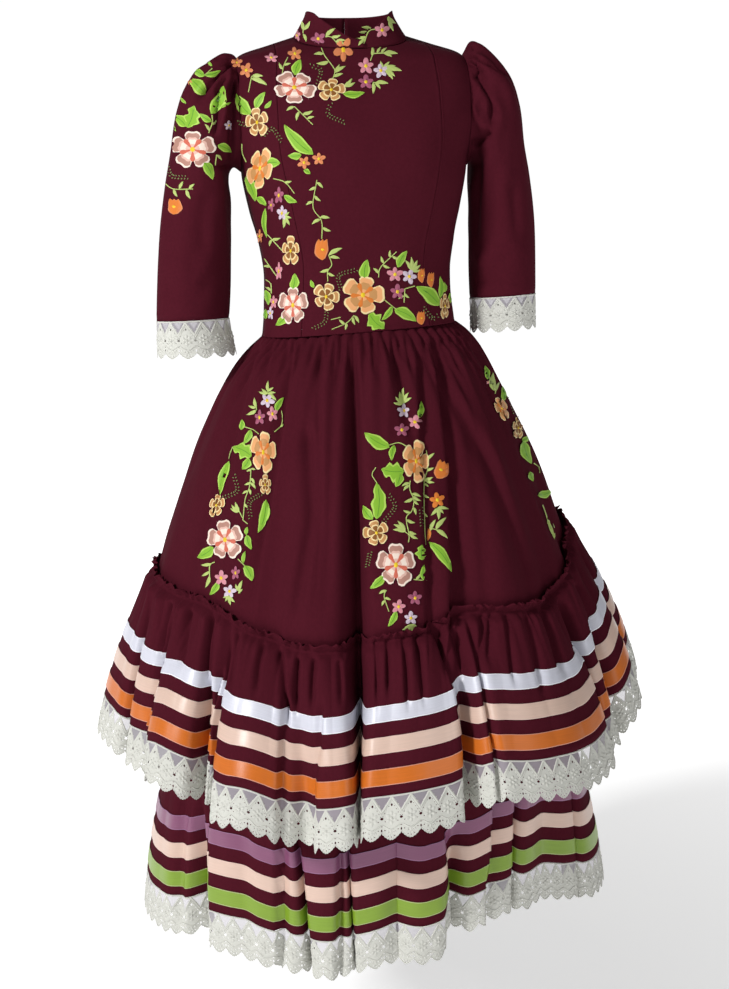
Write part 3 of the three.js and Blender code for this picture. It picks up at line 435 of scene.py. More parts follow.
def torso(level, x, front):
    half = HALF(level)
    depth = FRONT(level) if front > 0 else BACK(level)
    drop = DIP(level) if front > 0 else RISE(level)
    share = (1 - np.clip(np.abs(x) / half, 0, 1) ** BODY_POWER) ** (1 / BODY_POWER)
    tilt = SEAM_TILT * soft(1 + (WAIST_SEAM - level) / TILT_HEIGHT) * x / WAIST_HALF
    return stack(x, -front * depth * share, level + drop * share + tilt)


def shoulder_level(x):
    """Level of the shoulder seam at a distance from the middle: the inverse of HALF."""
    return np.where(x <= NECK_HALF, NECK_LEVEL, np.interp(x, HEAD_HALVES, HEAD_LEVELS))


def outer_edge(level):
    return np.where(level > -100, ARMHOLE_X, np.minimum(ARMHOLE_X, HALF(level)))


def bodice_at(front, side, panel, u, drop):
    """A bodice panel: u is measured across at the shoulder, drop down from there to the waist."""
    away = np.abs(u)
    top = shoulder_level(away)
    level = top - drop * (top - WAIST_SEAM - SEAM / 2) / BODICE_DROP
    inner = PRINCESS[0, 1]
    if panel == "side":
        x = mix(PRINCESS_X(level), outer_edge(level), (away - inner) / (ARMHOLE_X - inner))
    elif panel == "back":
        x = away / ARMHOLE_X * outer_edge(level)
    else:
        x = away / inner * PRINCESS_X(level)
    on_shoulder = (drop <= 0) & (away > NECK_HALF)
    x = np.where(on_shoulder, HALF(level), np.minimum(x, HALF(level)))
    return torso(level, side * np.sign(u) * x, front)


def collar_at(side, angle, t):
    """A half of the collar: angle runs round the neck from the front, t from 0 up to 1."""
    c, s = turned(angle)
    sx = np.sign(s) * np.abs(s) ** (2 / BODY_POWER)
    sy = np.sign(c) * np.abs(c) ** (2 / BODY_POWER)
    fall = np.where(c > 0, DIP(NECK_LEVEL), RISE(NECK_LEVEL))
    low = NECK_LEVEL + fall * np.abs(sy) + 1.5 * SEAM + CLOTH / 2
    high = np.maximum(smooth_table(COLLAR_TOP, 1)(angle), low + 6)
    z = mix(low, high, t)
    lean = 1 - (1 - np.clip((z - low) / COLLAR_STAND, 0, 1)) ** 1.5
    half = mix(NECK_HALF, COLLAR_RADIUS["side"], lean)
    depth = np.where(c > 0, mix(NECK_FRONT, COLLAR_RADIUS["front"], lean),
                     mix(NECK_BACK, COLLAR_RADIUS["back"], lean))
    out = (CLOTH + 3 * SEAM) * soft((20 - angle) / 8) if side < 0 else 0 * angle
    return stack(side * (half * sx + s * out), -depth * sy - c * out, z)


def neck_angle(x):
    share = (abs(x) / NECK_HALF) ** (BODY_POWER / 2)
    return math.copysign(math.degrees(math.asin(min(1.0, share))), x)


def armhole_chain(front):
    drops = np.linspace(0, ARMHOLE_DROP, 90)
    p = bodice_at(front, 1, "side" if front > 0 else "back", np.full(90, ARMHOLE_X), drops)
    along = summed(gaps(p))
    return along / along[-1], p


ARMHOLE = {1: armhole_chain(1), -1: armhole_chain(-1)}


def sleeve_at(pose, q, r):
    """A sleeve: q runs round from the top over the front, r down the sections, then in mm."""
    q, r = floats(q, r)
    turn = q % 1.0
    c, s = np.cos(2 * np.pi * turn), np.sin(2 * np.pi * turn)
    t = np.where(turn <= 0.5, 2 * turn, 2 - 2 * turn)
    head = [np.where(turn <= 0.5, np.interp(t, ARMHOLE[1][0], ARMHOLE[1][1][:, i]),
                     np.interp(t, ARMHOLE[-1][0], ARMHOLE[-1][1][:, i])) for i in (1, 2)]
    # the armhole, and then the sections, pleated where they puff
    sections = [stack(ARMHOLE_X + SEAM, *head)]
    for ox, oz, ix, iz, depth, puff in SLEEVE:
        hx, hz = (ox - ix) / 2, (oz - iz) / 2
        out = PUFF_PLEAT * puff * soft((c + 0.3) / 0.8)
        ripple = np.cos(2 * np.pi * (SLEEVE_PLEATS * turn + 0.22 * np.sin(6 * np.pi * turn)))
        grow = 1 + out * ripple / math.hypot(hx, hz)
        sections.append(stack(ix + hx + hx * c * grow, -depth * s * grow, iz + hz + hz * c * grow))
    sections = np.stack(sections)
    last = SLEEVE_ROWS
    k = np.clip(np.floor(r).astype(int), 0, last - 1)
    f = np.clip(r - k, 0, 1)[..., None]

    def pick(i):
        return np.take_along_axis(sections, np.clip(i, 0, last)[None, ..., None], axis=0)[0]

    before = np.where((k > 0)[..., None], pick(k - 1), 2 * pick(k) - pick(k + 1))
    p = catmull(before, pick(k), pick(k + 1), pick(k + 2), f)
    past = np.maximum(0, r - last)
    lace = past / LACE_DEPTH["cuff"]
    outer, inner = 0.5 + 0.5 * c, 0.5 - 0.5 * c
    low = soft(r / last)
    x, y, z = p[..., 0], p[..., 1], p[..., 2]
    # how this arm is held: wider inside, slumped, stretched, tilted and swung out
    x = x - (pose["wide"] * low + pose["flare"] * lace) * inner
    x = x - pose["trim"] * (low + lace) * outer
    y = y - lace * 2 * s
    z = z + pose["slump"] * soft(r) * (1 - soft((r - 1) / 3)) * outer - past
    z = SLEEVE_TOP + (z - SLEEVE_TOP) * mix(1, pose["stretch"], low) + pose["tilt"] * low * outer
    angle = np.radians(pose["swing"]) * soft(r / 3.5)
    dx, dz = x - ARMHOLE_X, z - SLEEVE_TOP
    x = ARMHOLE_X + dx * np.cos(angle) - dz * np.sin(angle)
    z = SLEEVE_TOP + dz * np.cos(angle) + dx * np.sin(angle)
    x = np.maximum(x, ARMHOLE_X + SEAM)
    return stack(pose["side"] * x, y, z)


SKIRT_HALF, SKIRT_LESS, SKIRT_LESS_BACK = [smooth_table(SKIRT, c) for c in (1, 2, 3)]


def skirt_at(angle, level, fine=True):
    """The skirt; fine adds its uneven gathers and creases, which the ruffles' seams go without."""
    angle, level = floats(angle, level)
    half = SKIRT_HALF(level)
    c, s = turned(angle)
    less = np.where(c > 0, SKIRT_LESS(level), SKIRT_LESS_BACK(level))
    out = np.zeros_like(angle)
    for at, wide, deep in SKIRT_FOLDS:
        out = out + deep * bell(apart(angle, at) / wide)
    # the folds grow from the waist down and fade under the upper ruffle
    out = out * reached(level, FOLDS_GROW) * (1 - reached(level, FOLDS_END))
    gather = 1 - reached(level, GATHERS_END)
    if fine:
        warp = 1.1 * np.sin(np.radians(7 * angle + 20)) + 0.7 * np.sin(np.radians(13 * angle))
        tall = 1 + 0.45 * np.sin(np.radians(11 * angle + 50)) * np.sin(np.radians(4 * angle))
        gather = gather * tall
        phase = np.radians(WAIST_GATHERS / 2 * (angle + 180 + warp))
        out = out + GATHER_DEPTH * gather * (2 * np.abs(np.cos(phase)) ** 0.8 - 1)
        for at, wide, deep, end in WAIST_CREASES:
            start = soft((WAIST_SEAM - 6 - level) / 40)
            fade = 1 - soft((WAIST_SEAM - level) / (WAIST_SEAM - end))
            spread = wide * (1 + 0.6 * soft((WAIST_SEAM - level) / 200))
            out = out + deep * start * fade * bell(apart(angle, at) / spread)
    else:
        out = out + GATHER_DEPTH * gather * np.cos(np.radians(WAIST_GATHERS * (angle + 180)))
    tilt = SEAM_TILT * (1 - soft((WAIST_SEAM - level) / 90)) * (half + out) * s / WAIST_HALF
    return stack((half + out) * s, -(half - less + out) * c, level + tilt)


def hem_path(folds):
    """The ruffle's columns at its hem: angle and how far out."""
    path = []
    for i, (start, end, out, dip, columns) in enumerate(folds):
        for k in range(columns):
            t = k / (columns - 1) if columns > 1 else 0.5
            swell = 0.35 + 0.65 * math.sin(math.pi * t) if columns > 1 else 1
            path.append((mix(start, end, t), out * swell))
        after = folds[i + 1][0] if i + 1 < len(folds) else folds[0][0] + 360
        path.append(((end + after) / 2, dip))
    return np.array(path)


SEAM_SHARING = 0.4  # 0 leaves a column above its place at the hem, 1 shares the cloth out evenly
COLUMN_GAP = 0.7  # least degrees between two columns at the seam


def seam_angles(path, radius):
    """Angles of the ruffle's columns at its seam."""
    n = len(path)
    closed = np.vstack([path, path[:1] + [360, 0]])
    step = np.diff(closed, axis=0)
    along = summed(np.hypot(np.radians(step[:, 0]) * radius, step[:, 1]))
    share = path[0, 0] + 360 * along[:n] / along[n]
    drift = np.mean(share - path[:, 0])
    angles = mix(path[:, 0], share - drift, SEAM_SHARING)
    for i in range(1, n):
        angles[i] = max(angles[i], angles[i - 1] + COLUMN_GAP)
    for side_seam in (-90, 90):
        angles[np.argmin(np.abs(angles - side_seam))] = side_seam
    return angles


def upper_seam(angle, d):
    rise = np.maximum(0, -d)
    p = skirt_at(angle, look_round(RUFFLE_SEAM, angle) + rise, fine=False)
    return p, CLOTH + 2 * SEAM + rise / HEADING * HEADING_LEAN


def lower_seam(angle, _):
    return skirt_at(angle, look_round(LOWER_SEAM, angle) - SEAM / 2, fine=False), 0.0


TIERS = {}
for tier_name, folds, seam in (("upper", UPPER_FOLDS, upper_seam),
                               ("lower", LOWER_FOLDS, lower_seam)):
    hem = hem_path(folds)
    side, front = HEM_RADIUS[tier_name]
    TIERS[tier_name] = dict(name=tier_name, path=hem, angles=seam_angles(hem, side), side=side,
                            front=front, seam=seam, count=len(hem))


def ruffle_at(tier, k, d):
    """A ruffle: k counts its columns, d is the cloth distance below its seam."""
    k, d = floats(k, d)
    angle = read_list(tier["angles"], k, 360)
    head, seat = tier["seam"](angle, d)
    way = outward(angle)
    head = head + way * np.broadcast_to(seat, angle.shape)[..., None]
    at = read_list(tier["path"][:, 0], k, 360)
    out = read_list(tier["path"][:, 1], k)
    c, s = turned(at)
    r = mix(tier["front"], tier["side"], s * s) + out
    t = np.maximum(d, 0) / RUFFLE_CLOTH
    grow = t * (1.3 - 0.3 * t)
    dx, dy = r * s - head[..., 0], -r * c - head[..., 1]
    # the cloth falls by what its length leaves over after its run outwards
    run = np.minimum(np.hypot(dx, dy), RUFFLE_CLOTH * 0.8)
    fall = np.sqrt(RUFFLE_CLOTH**2 - run**2)
    p = stack(head[..., 0] + dx * grow, head[..., 1] + dy * grow,
              head[..., 2] - (fall * (0.93 + 0.07 * t) + RECESS_LIFT * np.minimum(0, out)) * t)
    depth = np.maximum(d, 0)
    a = np.radians(angle)
    upper = tier["name"] == "upper"
    if upper:
        # the frill above the seam and the small gathers below it
        phase = HEADING_WAVES * angle / 360 + 0.5 * np.sin(9 * a + 0.5) + 0.35 * np.sin(31 * a)
        frill = np.maximum(0, -d) / HEADING
        tall = 0.75 + 0.4 * np.sin(17 * a) * np.sin(5 * a + 0.7) + 0.3 * np.sin(53 * a + 1)
        wave = frill * (1.5 + HEADING_WAVE * tall * np.cos(2 * np.pi * phase))
        p[..., 2] += frill * (1.6 * np.sin(2.6 * np.pi * phase + 1) - 1.5 * tall)
        wave = wave + 1.6 * soft(depth / 5) * np.exp(-depth / 24) * (1 + np.cos(2 * np.pi * phase))
        counts, deep, reach = (64, 35), (9.0, 7.0), (46, 100)
    else:
        wave, counts, deep, reach = 0.0, (71, 41), (4.5, 5.0), (50, 100)
    # two sets of uneven flutes that fade down the cloth
    for count, size, length, turn in zip(counts, deep, reach, (0.3, 2.0)):
        uneven = 0.65 + 0.35 * np.sin((count // 9) * a + turn) * np.sin((count // 5) * a)
        flute = np.abs(np.sin(np.pi * count * angle / 360 + 0.9 * np.sin(7 * a + turn))) ** 0.75
        wave = wave + size * uneven * flute * soft(depth / 12) * np.exp(-depth / length)
    creases = SKIRT_CREASES + UPPER_CREASES if upper else LOWER_CREASES
    return press(p + way * wave[..., None], way, creases)


RUFFLE_STEP, SLEEVE_STEP = 0.04, 0.003  # small steps of a column count and of a turn


def moved_out(surface, piece, a, b, push, reach, turn=1):
    """Points of a ruffle or sleeve moved out from its cloth; reach is a small step of a."""
    a, b, push = floats(a, b, push)
    along = surface(piece, a + reach, b) - surface(piece, a - reach, b)
    down = surface(piece, a, b + 1) - surface(piece, a, b - 1)
    return surface(piece, a, b) + unit(np.cross(down, along)) * (turn * push[..., None])


# ---- materials ------------------------------------------------------------------------------
def srgb(code):
    def line(v):
        v /= 255
        return v / 12.92 if v <= 0.04045 else ((v + 0.055) / 1.055) ** 2.4

    return tuple(line(int(code[i:i + 2], 16)) for i in (0, 2, 4))


def wire(tree, node, **inputs):
    """A node, or a new one of the kind named, with its inputs set or fed by another's output."""
    if isinstance(node, str):
        node = tree.nodes.new("ShaderNode" + node)
    for name, value in inputs.items():
        slot = node.inputs[name.replace("_", " ")]
        if isinstance(value, bpy.types.NodeSocket):
            tree.links.new(value, slot)
        else:
            slot.default_value = value
    return node


def material(name, code, rough=0.7, sheen=0.0, weave=0.0, weave_scale=1400, mottle=0.0,
             stretch=None, specular=0.4):
    """A cloth finish: weave is a fine bump and mottle an uneven tone."""
    mat = bpy.data.materials.new(name)
    mat.use_nodes = True
    tree = mat.node_tree
    colour = srgb(code)
    mat.diffuse_color = (*colour, 1)
    bsdf = wire(tree, tree.nodes["Principled BSDF"], Base_Color=(*colour, 1), Roughness=rough,
                Specular_IOR_Level=specular, Sheen_Weight=sheen, Sheen_Roughness=0.4)
    if weave or mottle:
        where = wire(tree, "TexCoord")
        source = where.outputs["Object"]
        if stretch:
            source = wire(tree, "Mapping", Vector=where.outputs["UV"], Scale=stretch).outputs[0]
    if mottle:
        noise = wire(tree, "TexNoise", Vector=source, Scale=3 if stretch else 260, Detail=3)
        ramp = wire(tree, "ValToRGB", Fac=noise.outputs["Fac"])
        ends = zip(ramp.color_ramp.elements, (0.3, 0.7), (1 - mottle, 1 + mottle))
        for element, place, share in ends:
            element.position = place
            element.color = (*(min(1, v * share) for v in colour), 1)
        wire(tree, bsdf, Base_Color=ramp.outputs["Color"])
    if weave:
        fine = wire(tree, "TexNoise", Vector=source, Scale=weave_scale, Detail=2)
        bump = wire(tree, "Bump", Strength=weave, Distance=0.0004, Height=fine.outputs["Fac"])
        wire(tree, bsdf, Normal=bump.outputs["Normal"])
    return mat


WINE = material("wine_cloth", "45141f", 0.9, weave=0.25, mottle=0.06, specular=0.02)
SATIN, EDGE = {}, {}
for colour, satin, edge, mottle in (
    ("white", "c8c9d4", "eceaf0", 0.05), ("beige", "cdb1a2", "d8b9ae", 0.05),
    ("orange", "c2661f", "c98a78", 0.06), ("purple", "7d4a68", "94688a", 0.06),
    ("green", "78952a", "a9b27a", 0.06),
):
    SATIN[colour] = material("ribbon_" + colour, satin, 0.34, mottle=mottle, stretch=(1, 30, 1),
                             weave=0.1, weave_scale=60)
    EDGE[colour] = material("ribbon_edge_" + colour, edge, 0.6)
LACE = material("lace", "c4c4bd", 0.9, weave=0.35, weave_scale=1600, specular=0.1)
NET = material("lace_net", "b5b0b8", 0.9, specular=0.1)
NET_OPEN = 0.45  # the share of the sheer net that is holes
tree = NET.node_tree
sheer = wire(tree, "MixShader", Fac=NET_OPEN)
tree.links.new(tree.nodes["Principled BSDF"].outputs[0], sheer.inputs[1])
tree.links.new(wire(tree, "BsdfTransparent").outputs[0], sheer.inputs[2])
wire(tree, tree.nodes["Material Output"], Surface=sheer.outputs[0])


# ---- meshes ---------------------------------------------------------------------------------
def put(name, data):
    """An object of that data, in the scene."""
    obj = bpy.data.objects.new(name, data)
    bpy.context.scene.collection.objects.link(obj)
    return obj


def make(name, vertices, faces, mats, face_mats=None, uvs=None):
    """An object from points in millimetres and an array of triangles or quads."""
    mesh = bpy.data.meshes.new(name)
    vertices = np.asarray(vertices, float).reshape(-1, 3) * MM
    faces = np.asarray(faces, np.int32)
    mesh.vertices.add(len(vertices))
    mesh.vertices.foreach_set("co", vertices.astype(np.float32).ravel())
    mesh.loops.add(faces.size)
    mesh.loops.foreach_set("vertex_index", faces.ravel())
    mesh.polygons.add(len(faces))
    mesh.polygons.foreach_set("loop_start", np.arange(0, faces.size, faces.shape[1]))
    for m in mats:
        mesh.materials.append(m)
    if face_mats is not None:
        mesh.polygons.foreach_set("material_index", np.asarray(face_mats, np.int32))
    if uvs is not None:
        layer = mesh.uv_layers.new(name="UVMap")
        layer.data.foreach_set("uv", np.asarray(uvs, np.float32)[faces.ravel()].ravel())
    mesh.update(calc_edges=True)
    mesh.validate()
    mesh.polygons.foreach_set("use_smooth", np.full(len(mesh.polygons), True))
    obj = put(name, mesh)
    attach(obj, "root")
    return obj


def grid_faces(rows, cols, wrap, flip):
    r, c = np.meshgrid(np.arange(rows - 1), np.arange(cols if wrap else cols - 1), indexing="ij")
    a, b = r * cols + c, r * cols + (c + 1) % cols
    quads = [a, a + cols, b + cols, b] if not flip else [a, b, b + cols, a + cols]
    return np.stack([q.ravel() for q in quads], axis=1)


UV_UNIT = 100  # millimetres of cloth in one unit of the UV map
CUTS = {}  # width, length and area of each cut, in metres
CLOTHS = {}  # the wine cloth's shells


def shell(name, p, mats, wrap=False, flip=False, thick=SHELL, row_mats=None):
    """A thin cloth shell through a grid of points, rows by columns."""
    rows, cols = p.shape[:2]
    faces = grid_faces(rows, cols, wrap, flip)
    a, b, c, d = (p.reshape(-1, 3)[faces[:, i]] for i in range(4))
    area = np.linalg.norm(np.cross(c - a, d - b), axis=1).sum() / 2
    round_it = np.concatenate([p, p[:, :1]], axis=1) if wrap else p
    width = gaps(round_it, 1).sum(axis=1).max()
    depths = gaps(p).sum(axis=0)
    length = np.median(depths) if name.startswith(("ruffle", "ribbon")) else depths.max()
    CUTS[name] = (width * MM, length * MM, area * MM**2)
    face_mats = None
    if row_mats is not None:
        face_mats = np.repeat(np.asarray(row_mats), cols if wrap else cols - 1)
    down, across = summed(gaps(p).mean(axis=1)), summed(gaps(p, 1).mean(axis=0))
    uvs = stack(across[None, :] / UV_UNIT, down[:, None] / UV_UNIT, 0)[..., :2].reshape(-1, 2)
    obj = make(name, p, faces, mats, face_mats, uvs)
    if thick:
        mod = obj.modifiers.new("thickness", "SOLIDIFY")
        mod.thickness = thick * MM
        mod.offset = 0
    return obj


def stands_for(obj, node):
    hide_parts(node)


def wine_shell(name, p, **options):
    """A shell of the wine cloth, which replaces the node of that name."""
    CLOTHS[name] = shell(name + "_cloth", p, [WINE], **options)
    stands_for(CLOTHS[name], name)


# ---- bodice ---------------------------------------------------------------------------------
INNER = PRINCESS[0, 1]
HALF_FRONT = INNER - SEAM / 2
# name, front or back, side, which panel, distances across at the shoulder, columns
PANELS = (
    ("bodice_front_centre", 1, 1, "centre", -HALF_FRONT, HALF_FRONT, 77),
    ("bodice_side_front_left", 1, 1, "side", INNER, ARMHOLE_X, 25),
    ("bodice_side_front_right", 1, -1, "side", INNER, ARMHOLE_X, 25),
    ("bodice_back_left", -1, 1, "back", CENTRE_BACK, ARMHOLE_X, 49),
    ("bodice_back_right", -1, -1, "back", CENTRE_BACK, ARMHOLE_X, 49))
# rows are closer together at the shoulder and at the waist
DROPS = np.concatenate([np.linspace(0, 8, 5), np.linspace(12, 362, 84),
                        np.linspace(365, BODICE_DROP, 4)])
for name, front, side, panel, first, last, count in PANELS:
    t = np.linspace(0, 1, count)
    t = t + 0.06 * np.sin(2 * np.pi * t) * (panel == "back")
    u, drop = np.meshgrid(mix(first, last, t), DROPS)
    p = bodice_at(front, side, panel, u, drop)
    n = grid_normals(p) * (front * side)
    edge = np.abs(u - first)
    if panel != "back":
        edge = np.minimum(np.abs(u - last), edge)
    body = 0.9 * wobble(p[..., 0] / 90, p[..., 2] / 130, 3 + front) * soft((p[..., 2] + 350) / 40)
    low = np.maximum(0, 1 - (p[..., 2] - WAIST_SEAM) / 30)
    pucker = 0.45 * low * np.sin(p[..., 0] / 4.1 + 2 * np.sin(p[..., 0] / 17))
    relief = (pinch(edge) + body) * soft(drop / 12) + pinch(BODICE_DROP - drop, 2.5, 0.8) + pucker
    p = press(p + n * relief[..., None], n, BODICE_CREASES)
    if panel == "centre":
        p[..., 0] -= np.sign(u) * SEAM / 2 * (np.abs(u) >= last)
    elif panel == "side":
        p[:, 0, 0] += side * SEAM / 2
    p[..., 1] = np.minimum(p[..., 1], -SEAM / 2) if front > 0 else np.maximum(p[..., 1], SEAM / 2)
    wine_shell(name, p, flip=front * side < 0)

# ---- collar ---------------------------------------------------------------------------------
for side, name in ((1, "collar_left"), (-1, "collar_right")):
    end = neck_angle(5) if side > 0 else -neck_angle(11)
    angle, t = np.meshgrid(np.linspace(179.98, end, 64), np.linspace(1, 0, 14))
    p = collar_at(side, angle, t)
    n = grid_normals(p) * -side
    lie = 0.35 * wobble(angle / 70, t, 9) + pinch(t * COLLAR_STAND, 2.2, 0.5)
    p = p + n * lie[..., None]
    p[-1, :, 2] -= 0.8  # the lowest row closes the slit above the bodice
    wine_shell(name, p, flip=side > 0, thick=1.1)

# ---- sleeves --------------------------------------------------------------------------------
for hand, pose in SLEEVE_POSE.items():
    rows = np.concatenate([np.linspace(0, 4, 50), np.linspace(4.1, SLEEVE_ROWS, 31)])
    q, r = np.meshgrid(np.arange(120) / 120, rows)
    p = sleeve_at(pose, q, r)
    n = grid_normals(p, wrap=True) * pose["side"]
    fade = soft((r - 1.2) / 1.5) * soft((8.3 - r) / 1.2)
    drag = 1.5 * wobble(q * 5, r / 5.5, 11 + pose["side"]) * fade
    under = np.exp(-(((q - 0.42) / 0.05) ** 2) - (((r - 2.2) / 1.3) ** 2))
    hang = 0.9 * np.sin(2 * np.pi * (3 * q + 0.06 * r)) * soft((r - 3) / 3) * soft((8.4 - r) / 2)
    relief = drag - 3.0 * under + hang + pinch((SLEEVE_ROWS - r) * 60, 5, 0.5)
    relief = relief * (np.abs(p[..., 0]) > SLEEVE_FREE)
    head = soft(r / 0.5)[..., None]
    p = mix(p, press(p + n * relief[..., None], n, SLEEVE_CREASES[hand]), head)
    p[..., 0] = pose["side"] * np.maximum(np.abs(p[..., 0]), ARMHOLE_X + SEAM)
    wine_shell("sleeve_" + hand, p, wrap=True, flip=pose["side"] < 0)

# ---- skirt ----------------------------------------------------------------------------------
for name, start in (("skirt_front", -90), ("skirt_back", 90)):
    angles = np.linspace(start, start + 180, 4 * WAIST_GATHERS + 1)
    angles[0] += SIDE_GAP
    angles[-1] -= SIDE_GAP
    # 0 at the waist, 1 at the upper ruffle's seam and 2 at the lower one's
    shares = [np.linspace(0, 0.2, 22), np.linspace(0.217, 1, 46), np.linspace(1.1, 2, 10)]
    angle, s = np.meshgrid(angles, np.concatenate(shares))
    seam_z, low_z = look_round(RUFFLE_SEAM, angle), look_round(LOWER_SEAM, angle) + SEAM / 2
    level = np.where(s <= 1, mix(WAIST_SEAM - SEAM / 2, seam_z, s), mix(seam_z, low_z, s - 1))
    p = skirt_at(angle, level)
    n = -grid_normals(p)
    lie = 1.1 * wobble(angle / 26, level / 190, 5) * soft((-385 - level) / 90)
    lie = lie + pinch(np.minimum(angle - start, start + 180 - angle) * 4, 3, 0.8)
    pleats = [((x, 328, x + 0.03 * (x - 356), 345, x + 0.16 * (x - 356), 340 + long), 2.2, 2.2, deep)
              for x, long, deep in WAIST_PLEATS]
    pressed = press(p + n * lie[..., None], outward(angle), SKIRT_CREASES + pleats)
    p = mix(p, pressed, soft((WAIST_SEAM - 1 - level) / 12)[..., None])
    wine_shell(name, p, thick=0)

# ---- ruffles and ribbons --------------------------------------------------------------------
for tier_name, tier in TIERS.items():
    upper = tier_name == "upper"
    per = FOLD_COLUMNS[tier_name]
    ks = np.arange(tier["count"] * per) / per
    ds = np.concatenate([np.linspace(-HEADING, -2, 5) if upper else [], np.linspace(0, 24, 9),
                         np.linspace(30, RUFFLE_CLOTH, 25)])
    k, d = np.meshgrid(ks, ds)
    wine_shell("ruffle_" + tier_name, ruffle_at(tier, k, d), wrap=True)
    for drop, colour in zip(RIBBON_DROPS, RIBBON_COLOURS[tier_name]):
        rows = drop + np.array([0, 0.9, 6, 13, RIBBON_WIDTH - 0.9, RIBBON_WIDTH])
        k, d = np.meshgrid(ks, rows)
        p = moved_out(ruffle_at, tier, k, d, RIBBON_LIFT, RUFFLE_STEP)
        name = "ribbon_" + tier_name + "_" + colour
        obj = shell(name + "_satin", p, [SATIN[colour], EDGE[colour]], wrap=True, thick=0.5,
                    row_mats=[1, 0, 0, 0, 1])
        stands_for(obj, name)

# ---- lace -----------------------------------------------------------------------------------
REPEAT = 22.0  # width of one repeat: a peak of the chevron, a flower and a scallop
PATTERN_DEPTH = 50.0
CHEVRON_TOP, CHEVRON_HEIGHT = 1.4, 16.2
PLAIN_DEPTH, SCALLOP, PICOT = 40.5, 8.2, 1.1  # of the edge between scallops, and what they add


def from_peak(u):
    """How far along a repeat a place is from the nearest peak of the chevron, 0 to 1."""
    return np.abs((u + REPEAT / 2) % REPEAT - REPEAT / 2) / (REPEAT / 2)


def lace_edge(u):
    """Depth of the scalloped, picot edge at a distance along; a scallop hangs under each peak."""
    picots = np.abs(np.sin(np.pi * u / (REPEAT / 8)))
    return PLAIN_DEPTH + SCALLOP * (1 - from_peak(u) ** 1.7) + PICOT * picots


def chevron(u):
    return CHEVRON_TOP + CHEVRON_HEIGHT * from_peak(u)


def lace_holes():
    """Pin-holes of one repeat: place and half sizes."""
    half = REPEAT / 2
    holes = [(0, 10.6, 1.2, 1.5), (half, 25.2, 1.9, 1.5), (half, 33.2, 1.3, 1.0),
             (half, 38.3, 0.9, 1.6), (0, 42.3, 0.9, 0.7), (0, 46.2, 0.7, 0.6)]
    for side in (-1, 1):
        for t in (0.3, 0.5, 0.7, 0.88):
            holes.append((side * half * t, chevron(half * t) + 5.0 + 2.6 * t, 0.6, 0.55))
        for u, v in ((2.4, 36.6), (4.6, 36.0), (8.2, 33.4)):
            holes.append((side * u, v, 0.6, 0.5))
        for u, v, size in ((3.2, 40.6, 0.8), (7.4, 38.2, 0.8), (3.6, 44.8, 0.7), (7.2, 28.6, 0.7)):
            holes.append((side * u, v, size, size * 0.8))
    start = -REPEAT / 4
    return [((u - start) % REPEAT + start, v, a, b) for u, v, a, b in holes]


def from_hole(u, v, hole, wider=0.0):
    """Under 1 inside a hole's ellipse and over 1 outside it."""
    x, y, a, b = hole
    return ((u - x) / (a + wider)) ** 2 + ((v - y) / (b + wider)) ** 2


def lace_sheet():
    """One repeat of the flat lace with its holes: points, triangles and which are sheer net."""
    start, end = -REPEAT / 4, 3 * REPEAT / 4
    us = np.linspace(start, end, 17)
    side = np.linspace(0, lace_edge(start), 15)
    ring = [(u, 0.0) for u in us] + [(end, v) for v in side[1:]]
    ring += [(u, float(lace_edge(u))) for u in np.linspace(end, start, 33)[1:]]
    ring += [(start, v) for v in side[-2:0:-1]]
    points = [Vector(p) for p in ring]
    edges = [(i, (i + 1) % len(ring)) for i in range(len(ring))]
    holes = [h for h in lace_holes() if start + h[2] + 0.5 < h[0] < end - h[2] - 0.5]
    for u, v, a, b in holes:
        sides = 8 if a > 0.85 else 5
        first = len(points)
        for i in range(sides):
            w = 2 * math.pi * i / sides
            points.append(Vector((u + a * math.cos(w), v + b * math.sin(w))))
            edges.append((first + i, first + (i + 1) % sides))
    for v in np.arange(3.4, 46, 3.3):
        for u in np.arange(start + 2.75, end - 1, 2.75):
            clear = all(from_hole(u, v, h, 0.8) > 1 for h in holes)
            if clear and v < lace_edge(u) - 1.4:
                points.append(Vector((u, v)))
    coords, _, faces, _, _, _ = delaunay_2d_cdt(points, edges, [], 0, 1e-5)
    coords = np.array([tuple(c) for c in coords])
    tris, net = [], []
    for f in faces:
        u, v = coords[list(f)].mean(axis=0)
        if v > lace_edge(u) + 0.02 or any(from_hole(u, v, h) < 0.8 for h in holes):
            continue
        tris.append(f)
        net.append(v < chevron(u) and v > 0)
    return np.column_stack([coords, np.zeros(len(coords))]), np.array(tris), np.array(net, int)


